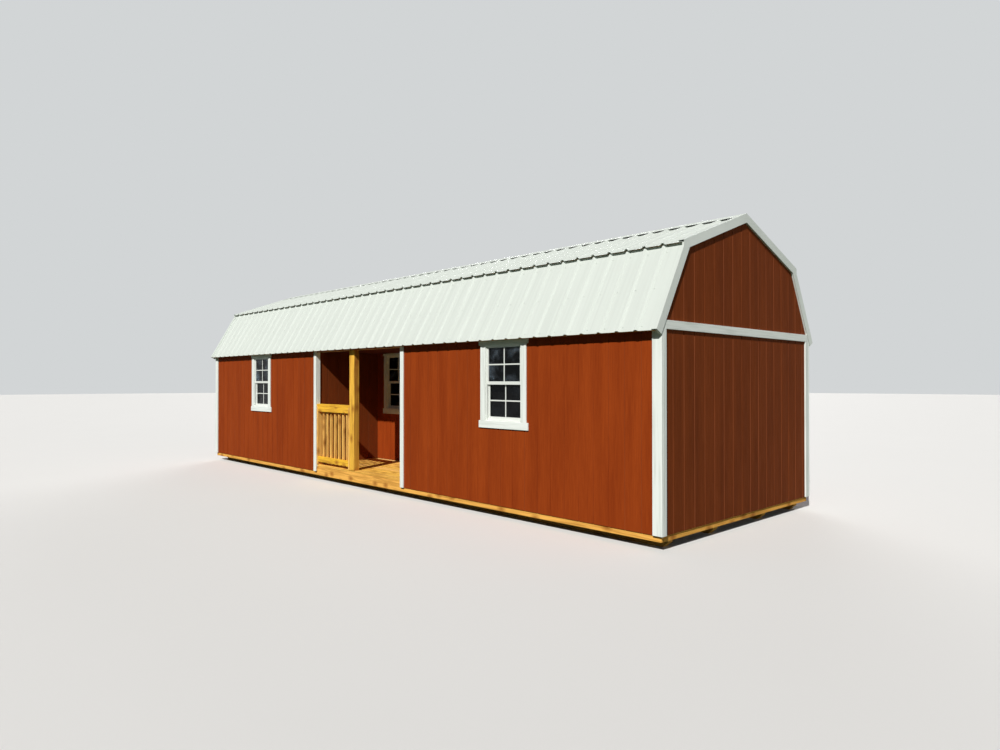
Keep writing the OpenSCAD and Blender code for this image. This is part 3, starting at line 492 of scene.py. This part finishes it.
def window_glass(colours):
    """Clear float glass before a dark room: nearly black, with a faint blue-grey painted
    reflection of the sky on it.

    The painted reflection is on the upper panes, in patches. The IOR is low, so that the glass
    mirrors little of the pale studio and stays dark.
    """
    material, tree, output = new_material("float_glass")
    place = put(tree, "ShaderNodeTexCoord").outputs["Object"]
    # Patches 300 mm across
    film = put(tree, "ShaderNodeTexNoise", {"Vector": place, "Scale": 3.5, "Detail": 4.0,
                                            "Distortion": 0.6}).outputs[0]
    rough = put(tree, "ShaderNodeMapRange", {0: film, 1: 0.4, 2: 0.8, 3: 0.02, 4: 0.09}).outputs[0]
    dust = put(tree, "ShaderNodeMapRange", {0: film, 1: 0.42, 2: 0.66}).outputs[0]
    height = put(tree, "ShaderNodeSeparateXYZ", {0: place}).outputs[2]
    # Painted reflection of the sky, on the upper panes only
    sky_share = put(tree, "ShaderNodeMapRange",
              {0: height, 1: PAINTED_SKY_HEIGHTS[0], 2: PAINTED_SKY_HEIGHTS[1], 3: 0.12, 4: 1.0}).outputs[0]
    left = put(tree, "ShaderNodeMath", {0: dust, 1: sky_share}, operation="MULTIPLY").outputs[0]
    tint = put(tree, "ShaderNodeMix", {0: left, 6: colours.glass, 7: colours.glass_painted_sky},
               data_type="RGBA").outputs[2]
    shader = put(tree, "ShaderNodeBsdfPrincipled",
                 {"Base Color": tint, "Roughness": rough, "IOR": 1.2, "Transmission Weight": 0.85})
    tree.links.new(shader.outputs[0], output.inputs[0])
    return material


def door_enamel(colours):
    """Baked enamel on pressed steel: smooth, with a soft gloss and light dust."""
    material, tree, output = new_material("white_door_enamel")
    place = put(tree, "ShaderNodeTexCoord").outputs["Object"]
    # Patches 200 mm across
    film = put(tree, "ShaderNodeTexNoise",
               {"Vector": place, "Scale": 5.0, "Detail": 4.0}).outputs[0]
    dull = put(tree, "ShaderNodeMapRange", {0: film, 1: 0.45, 2: 0.8, 3: 0.0, 4: 0.6}).outputs[0]
    white = put(tree, "ShaderNodeMix", {0: dull, 6: colours.door, 7: colours.trim_dark},
                data_type="RGBA").outputs[2]
    rough = put(tree, "ShaderNodeMapRange", {0: film, 3: 0.30, 4: 0.45}).outputs[0]
    shader = put(tree, "ShaderNodeBsdfPrincipled",
                 {"Base Color": white, "Roughness": rough, "IOR": 1.5})
    tree.links.new(shader.outputs[0], output.inputs[0])
    return material


def plain_metal(colours, name, bright, roughness):
    """Bare or plated metal of small fittings, with a light haze from handling."""
    material, tree, output = new_material(name)
    place = put(tree, "ShaderNodeTexCoord").outputs["Object"]
    # Haze in patches 17 mm across
    haze = put(tree, "ShaderNodeTexNoise",
               {"Vector": place, "Scale": 60.0, "Detail": 3.0}).outputs[0]
    rough = put(tree, "ShaderNodeMapRange",
                {0: haze, 3: roughness - 0.08, 4: roughness + 0.12}).outputs[0]
    tint = put(tree, "ShaderNodeMapRange", {0: haze, 3: 0.0, 4: 0.35}).outputs[0]
    metal = put(tree, "ShaderNodeMix", {0: tint, 6: bright, 7: colours.metal_haze},
                data_type="RGBA").outputs[2]
    shader = put(tree, "ShaderNodeBsdfPrincipled",
                 {"Base Color": metal, "Metallic": 1.0, "Roughness": rough})
    tree.links.new(shader.outputs[0], output.inputs[0])
    return material


def linked(name, data):
    """New object in the scene."""
    made = bpy.data.objects.new(name, data)
    bpy.context.scene.collection.objects.link(made)
    return made


def mesh_from(name, bm, material):
    """Mesh with one material, from a bmesh that isn't needed any more."""
    mesh = bpy.data.meshes.new(name)
    bm.to_mesh(mesh)
    bm.free()
    mesh.materials.append(material)
    return mesh


def new_piece(name, mesh):
    """Piece that rides on the barn."""
    piece = linked(name, mesh)
    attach(piece, "root")
    return piece


def merged(node):
    """Copy of a CAD node's mesh with its triangles joined into closed, flat-faced solids."""
    bm = bmesh.new()
    bm.from_mesh(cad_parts[node].data)
    bmesh.ops.remove_doubles(bm, verts=bm.verts, dist=1e-5)
    bmesh.ops.dissolve_limit(bm, angle_limit=math.radians(0.5), verts=bm.verts, edges=bm.edges)
    return bm


def islands(bm):
    """Lists of the connected vertices of a bmesh, one for each solid."""
    left = set(bm.verts)
    found = []
    for vert in bm.verts:
        if vert not in left:
            continue
        left.discard(vert)
        island, queue = [], [vert]
        while queue:
            at = queue.pop()
            island.append(at)
            for edge in at.link_edges:
                other = edge.other_vert(at)
                if other in left:
                    left.discard(other)
                    queue.append(other)
        found.append(island)
    return found


def boxes(node):
    """Lowest and highest corners of each solid of a CAD node."""
    bm = merged(node)
    found = []
    for island in islands(bm):
        sides = list(zip(*(v.co for v in island)))
        found.append((Vector(map(min, sides)), Vector(map(max, sides))))
    bm.free()
    return found


def boards(node, material, edge, tones=ANY_TONE):
    """Replace a CAD node by its own shape with eased edges, and give each board its own grain.

    The attribute "grain" holds a place measured along and across the board, and "tone" a number
    that is the same all over one board: in the first range of tones if it lies, in the second if
    it stands.
    """
    bm = merged(node)
    if edge:
        sharp = [e for e in bm.edges
                 if len(e.link_faces) == 2 and e.calc_face_angle(0) > EASED_ANGLE]
        bmesh.ops.bevel(bm, geom=sharp, offset=edge, segments=1, affect="EDGES",
                        clamp_overlap=True)
    grain = bm.verts.layers.float_vector.new("grain")
    tone = bm.verts.layers.float.new("tone")
    chance = random.Random(node)
    for island in islands(bm):
        # A list, and one sense along the board, so that each run gives the same grain
        edges = [e for v in island for e in v.link_edges]
        longest = max(edges, key=lambda e: e.calc_length())
        along = (longest.verts[1].co - longest.verts[0].co).normalized()
        if max(along, key=abs) < 0:
            along.negate()
        across = along.cross(Vector(min(Matrix.Identity(3), key=lambda a: abs(along.dot(a)))))
        across.normalize()
        turn = Matrix((along, across, along.cross(across)))
        shift = Vector((chance.uniform(0, 40), chance.uniform(0, 4), chance.uniform(0, 4)))
        upright = abs(along.z) > 0.7
        shade = chance.uniform(*tones[upright])
        for vert in island:
            vert[grain] = turn @ vert.co + shift
            vert[tone] = shade
    name = node + "_dressed"
    piece = new_piece(name, mesh_from(name, bm, material))
    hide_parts(node)


def paint_node(node, material):
    """Give a CAD node a finished material."""
    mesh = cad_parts[node].data
    mesh.materials.clear()
    mesh.materials.append(material)


def box_into(bm, low, high):
    """Add a box between two corners to a bmesh."""
    size, middle = high - low, (high + low) / 2
    for vert in bmesh.ops.create_cube(bm, size=1)["verts"]:
        vert.co = Vector(a * b for a, b in zip(vert.co, size)) + middle


def skin_into(bm, rings):
    """Join closed rings of vertices into a tube and close its two ends."""
    count = len(rings[0])
    for low, high in zip(rings, rings[1:]):
        for i in range(count):
            j = (i + 1) % count
            bm.faces.new((low[i], low[j], high[j], high[i]))
    bm.faces.new(list(reversed(rings[0])))
    bm.faces.new(rings[-1])


def lathe_into(bm, profile, place, aim, steps=24):
    """Add a turned form: profile holds (distance along aim, radius) from end to end."""
    turn = aim.to_track_quat("Z", "Y").to_matrix()
    rings = []
    for along, radius in profile:
        ring = []
        for i in range(steps):
            angle = 2 * math.pi * i / steps
            spot = Vector((radius * math.cos(angle), radius * math.sin(angle), along))
            ring.append(bm.verts.new(place + turn @ spot))
        rings.append(ring)
    skin_into(bm, rings)


def out_of(top, foot):
    """Unit normal, pointing up and out, of a slope in the roof's section."""
    run = (foot - top).normalized()
    return Vector((-run.y, run.x))


def flashing_stations():
    """Ends of the upper and of the lower flashing, as functions from (x, depth) to a point.

    The depth is measured in from the sheets' face. They are for the rake at the end and side
    where x and y are above 0.
    """
    lower_out, upper_out = out_of(KNEE, EAVE), out_of(RIDGE, KNEE)
    lap_end = KNEE + SHEET_LAP * (KNEE - RIDGE).normalized()
    start_y = lap_end.x + FLASHING_GAP
    start = EAVE + (KNEE - EAVE) * (EAVE.x - start_y) / (EAVE.x - KNEE.x)
    mitre = (lower_out + upper_out) / (1 + lower_out.dot(upper_out))

    def at_ridge(x, depth):
        return Vector((x, 0, RIDGE.y - depth / upper_out.y))

    def at_lap(x, depth):
        return Vector((x, lap_end.x, lap_end.y - depth / upper_out.y))

    # The lower piece's leg reaches up behind the leg of the upper piece
    def at_start(x, depth):
        if depth > 0:
            spot = KNEE - depth * mitre
            return Vector((x - FLASHING_STEP, spot.x, spot.y))
        return Vector((x, start.x, start.y - depth / lower_out.y))

    def at_eave(x, depth):
        spot = EAVE - depth * lower_out
        return Vector((x - FLASHING_STEP * (depth > 0), spot.x, spot.y))

    return (at_ridge, at_lap), (at_start, at_eave)


def sweep_into(bm, section, stations, signs):
    """Sweep a closed section through stations, mirrored to one of the rakes by the signs."""
    rings = []
    for station in stations:
        spots = [station(x, depth) for x, depth in section]
        rings.append([bm.verts.new([a * b for a, b in zip(spot, signs)]) for spot in spots])
    skin_into(bm, rings)


def fastener_tree():
    """Geometry nodes that put a washer and a head on every vertex, facing its attribute "aim"."""
    tree = bpy.data.node_groups.new("fastener_heads", "GeometryNodeTree")
    for name, kind in (("Places", "Geometry"), ("Washer radius", "Float"),
                       ("Washer height", "Float"), ("Head radius", "Float"),
                       ("Head height", "Float"), ("Finish", "Material")):
        tree.interface.new_socket(name, in_out="INPUT", socket_type="NodeSocket" + kind)
    tree.interface.new_socket("Heads", in_out="OUTPUT", socket_type="NodeSocketGeometry")
    given = tree.nodes.new("NodeGroupInput").outputs
    washer = put(tree, "GeometryNodeMeshCylinder",
                 {"Vertices": 10, "Radius": given["Washer radius"],
                  "Depth": given["Washer height"]}).outputs[0]
    head = put(tree, "GeometryNodeMeshCylinder",
               {"Vertices": 6, "Radius": given["Head radius"],
                "Depth": given["Head height"]}).outputs[0]
    half = put(tree, "ShaderNodeMath", {0: given["Head height"], 1: 0.5},
               operation="MULTIPLY").outputs[0]
    lift = put(tree, "ShaderNodeCombineXYZ", {"Z": half}).outputs[0]
    raised = put(tree, "GeometryNodeTransform", {"Geometry": head, "Translation": lift}).outputs[0]
    join = tree.nodes.new("GeometryNodeJoinGeometry")
    tree.links.new(washer, join.inputs[0])
    tree.links.new(raised, join.inputs[0])
    aim = put(tree, "GeometryNodeInputNamedAttribute", {"Name": "aim"}, data_type="FLOAT_VECTOR")
    turn = put(tree, "FunctionNodeAlignRotationToVector", {"Vector": aim.outputs[0]}, axis="Z")
    spread = put(tree, "GeometryNodeInstanceOnPoints",
                 {"Points": given["Places"], "Instance": join.outputs[0],
                  "Rotation": turn.outputs[0]}).outputs[0]
    real = put(tree, "GeometryNodeRealizeInstances", {"Geometry": spread}).outputs[0]
    done = put(tree, "GeometryNodeSetMaterial", {"Geometry": real, "Material": given["Finish"]})
    put(tree, "NodeGroupOutput", {0: done.outputs[0]})
    return tree


def fasteners(name, places, radius, form, material):
    """Fastener heads at places, a list of (point, direction that the head faces).

    The form is as in ROOF_SCREW, and the radius is the washer's.
    """
    tree = bpy.data.node_groups.get("fastener_heads") or fastener_tree()
    source = bpy.data.meshes.new(name + "_places")
    source.from_pydata([point for point, _ in places], [], [])
    aims = source.attributes.new("aim", "FLOAT_VECTOR", "POINT")
    aims.data.foreach_set("vector", [c for _, aim in places for c in aim])
    maker = linked(name + "_maker", source)
    modifier = maker.modifiers.new("heads", "NODES")
    modifier.node_group = tree
    washer_height, head_share, head_height = form
    wanted = {"Washer radius": radius, "Washer height": washer_height,
              "Head radius": radius * head_share, "Head height": head_height,
              "Finish": material}
    for socket in tree.interface.items_tree:
        if socket.name in wanted:
            modifier[socket.identifier] = wanted[socket.name]
    bpy.context.view_layer.update()
    made = maker.evaluated_get(bpy.context.evaluated_depsgraph_get())
    mesh = bpy.data.meshes.new_from_object(made)
    bpy.data.objects.remove(maker)
    if not mesh.polygons:
        raise RuntimeError(f"{name}: the geometry nodes made nothing")
    mesh.name = name
    new_piece(name, mesh)


def seen_directly(tree):
    """1 for what the camera sees, also in and through glass, and 0 for the light thrown on."""
    path = put(tree, "ShaderNodeLightPath").outputs
    found = path["Is Camera Ray"]
    for ray in ("Is Glossy Ray", "Is Transmission Ray"):
        found = put(tree, "ShaderNodeMath", {0: found, 1: path[ray]},
                    operation="MAXIMUM").outputs[0]
    return found


def studio_floor(colours):
    """Matt floor with the slightest mottle, wide enough to reach the horizon."""
    material, tree, output = new_material("studio_floor_paint")
    place = put(tree, "ShaderNodeTexCoord").outputs["Object"]
    # Patches 2 m across
    mottle = put(tree, "ShaderNodeTexNoise", {"Vector": place, "Scale": 0.5}).outputs[0]
    tint = put(tree, "ShaderNodeMapRange", {0: mottle, 3: 0.0, 4: 0.06}).outputs[0]
    pale = put(tree, "ShaderNodeMix", {0: tint, 6: colours.stage, 7: colours.stage_mottle},
               data_type="RGBA").outputs[2]
    # Pale where it is seen, and dark in the light that it throws on the barn
    shown = put(tree, "ShaderNodeMix", {0: seen_directly(tree), 6: colours.stage_dark, 7: pale},
                data_type="RGBA").outputs[2]
    shader = put(tree, "ShaderNodeBsdfPrincipled",
                 {"Base Color": shown, "Roughness": 0.9, "Specular IOR Level": 0.1})
    tree.links.new(shader.outputs[0], output.inputs[0])
    bm = bmesh.new()
    bmesh.ops.create_circle(bm, cap_ends=True, segments=96, radius=FLOOR_RADIUS)
    return linked("studio_floor", mesh_from("studio_floor", bm, material))


def studio_world(colours):
    """Pale wall where it is seen, and dim cool light from all round."""
    world = bpy.data.worlds.new("studio")
    world.use_nodes = True
    tree = world.node_tree
    tree.nodes.clear()
    soft = put(tree, "ShaderNodeBackground", {"Color": colours.soft, "Strength": SOFT_STRENGTH})
    wall = put(tree, "ShaderNodeBackground", {"Color": colours.wall, "Strength": 1.0})
    mixed = put(tree, "ShaderNodeMixShader",
                {0: seen_directly(tree), 1: soft.outputs[0], 2: wall.outputs[0]})
    put(tree, "ShaderNodeOutputWorld", {0: mixed.outputs[0]})
    return world


class BARN_OT_treated_timber(bpy.types.Operator):
    """Skids, floor timber, porch deck, post and railing of treated pine"""

    bl_idname = "barn.treated_timber"
    bl_label = "Treated timber"

    def execute(self, context):
        material = treated_pine(context.scene.barn_colours)
        sizes = context.scene.barn_sizes
        for node, tones in TREATED_TONES.items():
            edge = sizes.deck_edge if node == "porch_deck" else sizes.board_edge
            boards(node, material, edge, tones)
        return {"FINISHED"}


class BARN_OT_framing(bpy.types.Operator):
    """Wall frames, beam and roof trusses of planed spruce"""

    bl_idname = "barn.framing"
    bl_label = "Framing"

    def execute(self, context):
        material = framing_spruce(context.scene.barn_colours)
        for node in FRAMING_NODES:
            boards(node, material, context.scene.barn_sizes.board_edge)
        return {"FINISHED"}


class BARN_OT_sheets(bpy.types.Operator):
    """Floor, roof boarding and gussets of strand board"""

    bl_idname = "barn.sheets"
    bl_label = "Sheet wood"

    def execute(self, context):
        material = flake_board(context.scene.barn_colours)
        for node in PLYWOOD_NODES:
            boards(node, material, 0)
        return {"FINISHED"}


class BARN_OT_white_boards(bpy.types.Operator):
    """White boards of corners, rakes, bands, windows and door"""

    bl_idname = "barn.white_boards"
    bl_label = "White boards"

    def execute(self, context):
        material = white_paint(context.scene.barn_colours)
        for node in WHITE_NODES:
            boards(node, material, context.scene.barn_sizes.board_edge)
        return {"FINISHED"}


class BARN_OT_siding(bpy.types.Operator):
    """Barn red on the siding of every wall, darker as painted shade on the near gable and the
    porch's side walls, and painted shade on the porch ceiling
    """

    bl_idname = "barn.siding"
    bl_label = "Siding"

    def execute(self, context):
        colours = context.scene.barn_colours
        # Plain barn red on most walls; the darker red is painted shade on the near gable and the
        # porch's side walls
        bleached = barn_red(colours, "barn_red_wood_siding", colours.siding, colours.siding_dark)
        painted_shade_red = barn_red(colours, "barn_red_wood_siding_painted_shade", colours.gable, colours.gable_dark)
        for node in PLAIN_SIDING_NODES:
            paint_node(node, bleached)
        for node in PAINTED_SHADE_SIDING_NODES:
            paint_node(node, painted_shade_red)
        # Painted shade on the porch ceiling
        paint_node("porch_ceiling", painted_shade_sheet(colours))
        return {"FINISHED"}


class BARN_OT_roof(bpy.types.Operator):
    """White steel on the roof sheets, and the folded flashing along the rakes"""

    bl_idname = "barn.roof"
    bl_label = "Roof"

    def execute(self, context):
        sizes = context.scene.barn_sizes
        colours = context.scene.barn_colours
        material = coated_steel("white_coated_steel", colours.roof, colours.roof_dark)
        for node in ROOF_NODES:
            paint_node(node, material)
        inner, outer = SHEET_END - sizes.flashing_top, SHEET_END + FLASHING_PAST
        top, drop, metal = RIB_HEIGHT, sizes.flashing_drop, FLASHING_METAL
        # The folded section as (x, depth below the sheet's face): hem, top leg and face leg
        section = [(inner, 0), (inner, -top), (outer, -top), (outer, drop), (outer - metal, drop),
                   (outer - metal, metal - top), (inner + metal, metal - top), (inner + metal, 0)]
        bm = bmesh.new()
        for end in (-1, 1):
            for side in (-1, 1):
                for stations in flashing_stations():
                    sweep_into(bm, section, stations, (end, side, 1))
        bmesh.ops.recalc_face_normals(bm, faces=bm.faces)
        # Painted light: faces that look along the building, mostly the leg over the rake board,
        # get the boards' brighter white and the rest the roof's; the real flashing has one coat
        for face in bm.faces:
            face.material_index = 1 if abs(face.normal.x) > 0.5 else 0
        mesh = mesh_from("rake_flashing", bm, material)
        mesh.materials.append(coated_steel("white_steel_painted_light", colours.trim,
                                           colours.trim_dark))
        new_piece("rake_flashing", mesh)
        return {"FINISHED"}


class BARN_OT_roof_screws(bpy.types.Operator):
    """Rows of painted screws beside the ribs of the roof sheets"""

    bl_idname = "barn.roof_screws"
    bl_label = "Roof screws"

    def execute(self, context):
        sizes = context.scene.barn_sizes
        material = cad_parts["front_upper_roof"].data.materials[0]
        places = []
        count = int(SHEET_END / RIB_PITCH)
        for top, foot, first, last in SCREWED_SLOPES:
            run = foot - top
            normal = out_of(top, foot)
            span = run.length - first - last
            rows = max(2, round(span / sizes.screw_rows) + 1)
            for row in range(rows):
                spot = top + run.normalized() * (first + span * row / (rows - 1))
                for i in range(-count, count):
                    x = (i + SCREW_BESIDE_RIB) * RIB_PITCH
                    for side in (-1, 1):
                        places.append(((x, side * spot.x, spot.y), (0, side * normal.x, normal.y)))
        fasteners("roof_screws", places, sizes.screw_head, ROOF_SCREW, material)
        return {"FINISHED"}


class BARN_OT_deck_screws(bpy.types.Operator):
    """Screws that hold the deck boards to the joists"""

    bl_idname = "barn.deck_screws"
    bl_label = "Deck screws"

    def execute(self, context):
        colours = context.scene.barn_colours
        material = plain_metal(colours, "bronze_coated_steel", colours.bronze, 0.5)
        joists = [(low.x + high.x) / 2 for low, high in boxes("floor_joists")]
        places = []
        for low, high in boxes("porch_deck"):
            inset = min(DECK_SCREW_INSET, (high.y - low.y) / 3)
            for x in joists:
                if low.x + DECK_SCREW_INSET < x < high.x - DECK_SCREW_INSET:
                    for y in (low.y + inset, high.y - inset):
                        places.append(((x, y, high.z), (0, 0, 1)))
        fasteners("deck_screws", places, context.scene.barn_sizes.deck_screw, DECK_SCREW, material)
        return {"FINISHED"}


class BARN_OT_windows(bpy.types.Operator):
    """Vinyl frames and sashes, glass, and the bars that divide each sash into four"""

    bl_idname = "barn.windows"
    bl_label = "Windows"

    def execute(self, context):
        sizes = context.scene.barn_sizes
        colours = context.scene.barn_colours
        vinyl = window_vinyl(colours)
        paint_node("window_frames", vinyl)
        paint_node("window_sashes", vinyl)
        paint_node("window_glass", window_glass(colours))
        bm = bmesh.new()
        half, thick = sizes.bar_width / 2, sizes.bar_thickness
        for low, high in boxes("window_glass"):
            middle = (low + high) / 2
            for front, back in ((low.y - thick, low.y - BAR_GAP),
                                (high.y + BAR_GAP, high.y + thick)):
                box_into(bm, Vector((middle.x - half, front, low.z)),
                         Vector((middle.x + half, back, high.z)))
                for left, right in ((low.x, middle.x - half), (middle.x + half, high.x)):
                    box_into(bm, Vector((left, front, middle.z - half)),
                             Vector((right, back, middle.z + half)))
        bmesh.ops.bevel(bm, geom=bm.edges[:], offset=BAR_EDGE, segments=1, affect="EDGES")
        new_piece("window_bars", mesh_from("window_bars", bm, vinyl))
        return {"FINISHED"}


class BARN_OT_door(bpy.types.Operator):
    """Enamel on the door leaf, with its knob, bolt and hinges"""

    bl_idname = "barn.door"
    bl_label = "Door"

    def execute(self, context):
        colours = context.scene.barn_colours
        paint_node("door_leaf", door_enamel(colours))
        nickel = plain_metal(colours, "satin_nickel", colours.nickel, 0.34)
        low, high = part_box("door_leaf")
        bm = bmesh.new()
        for face, aim in ((low.y, Vector((0, -1, 0))), (high.y, Vector((0, 1, 0)))):
            for profile, height in ((KNOB, KNOB_HEIGHT), (BOLT, BOLT_HEIGHT)):
                lathe_into(bm, profile, Vector((low.x + BACKSET, face, low.z + height)), aim)
        # Fine grooves part the knuckles of a hinge, and its two ends are chamfered
        barrel = [(0, 0.004)]
        for i in range(HINGE_KNUCKLES):
            along = i * KNUCKLE_PITCH
            barrel += [(along + 0.002, HINGE_RADIUS), (along + 0.018, HINGE_RADIUS),
                       (along + 0.019, HINGE_RADIUS - 0.001)]
        barrel += [(HINGE_LENGTH - 0.002, HINGE_RADIUS), (HINGE_LENGTH, 0.004)]
        for share in HINGE_SHARES:
            foot = low.z + share * (high.z - low.z) - HINGE_BELOW
            lathe_into(bm, barrel, Vector((high.x + HINGE_BESIDE, low.y - HINGE_RADIUS, foot)),
                       Vector((0, 0, 1)), steps=14)
        bmesh.ops.recalc_face_normals(bm, faces=bm.faces)
        new_piece("door_fittings", mesh_from("door_fittings", bm, nickel))
        return {"FINISHED"}


class BARN_OT_stage(bpy.types.Operator):
    """Pale floor and wall, a sun on the porch side, soft light behind and the photo's camera"""

    bl_idname = "barn.stage"
    bl_label = "Studio"

    def execute(self, context):
        scene = context.scene
        studio_floor(scene.barn_colours)
        scene.world = studio_world(scene.barn_colours)
        for name, direction, strength, width, tint in SUNS:
            lamp = bpy.data.lights.new(name, "SUN")
            lamp.energy = strength
            lamp.angle = math.radians(width)
            lamp.color = tint
            sun = linked(name, lamp)
            sun.rotation_euler = Vector(direction).to_track_quat("Z", "Y").to_euler()
        lens = bpy.data.cameras.new("camera")
        lens.sensor_width = SENSOR_WIDTH
        lens.lens = SENSOR_WIDTH * FOCAL_WIDTHS
        lens.clip_end = CLIP_END
        camera = linked("camera", lens)
        camera.location = CAMERA_PLACE
        camera.rotation_euler = [math.radians(angle) for angle in CAMERA_TURN]
        scene.camera = camera
        scene.view_settings.view_transform = "Standard"
        return {"FINISHED"}


OPERATORS = (BARN_OT_treated_timber, BARN_OT_framing, BARN_OT_sheets, BARN_OT_white_boards,
             BARN_OT_siding, BARN_OT_roof, BARN_OT_roof_screws, BARN_OT_deck_screws,
             BARN_OT_windows, BARN_OT_door, BARN_OT_stage)


class BARN_PT_looks(bpy.types.Panel):
    """Buttons, sizes and colours of the barn's looks"""

    bl_idname = "BARN_PT_looks"
    bl_label = "Barn"
    bl_space_type = "VIEW_3D"
    bl_region_type = "UI"
    bl_category = "Barn"

    def draw(self, context):
        column = self.layout.column(align=True)
        for operator in OPERATORS:
            column.operator(operator.bl_idname)
        for group in (context.scene.barn_sizes, context.scene.barn_colours):
            column = self.layout.column()
            for name in group.bl_rna.properties.keys():
                if name not in ("name", "rna_type"):
                    column.prop(group, name)


CLASSES = (BARN_PG_sizes, BARN_PG_colours) + OPERATORS + (BARN_PT_looks,)


def register():
    """Add the classes and the scene's two groups of settings."""
    for cls in CLASSES:
        bpy.utils.register_class(cls)
    bpy.types.Scene.barn_sizes = bpy.props.PointerProperty(type=BARN_PG_sizes)
    bpy.types.Scene.barn_colours = bpy.props.PointerProperty(type=BARN_PG_colours)


def unregister():
    """Take away what register() added."""
    del bpy.types.Scene.barn_colours
    del bpy.types.Scene.barn_sizes
    for cls in reversed(CLASSES):
        bpy.utils.unregister_class(cls)


def main():
    """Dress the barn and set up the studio."""
    register()
    bpy.ops.barn.treated_timber()
    bpy.ops.barn.framing()
    bpy.ops.barn.sheets()
    bpy.ops.barn.white_boards()
    bpy.ops.barn.siding()
    bpy.ops.barn.roof()
    bpy.ops.barn.roof_screws()
    bpy.ops.barn.deck_screws()
    bpy.ops.barn.windows()
    bpy.ops.barn.door()
    bpy.ops.barn.stage()
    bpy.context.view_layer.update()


if __name__ == "__main__":
    main()
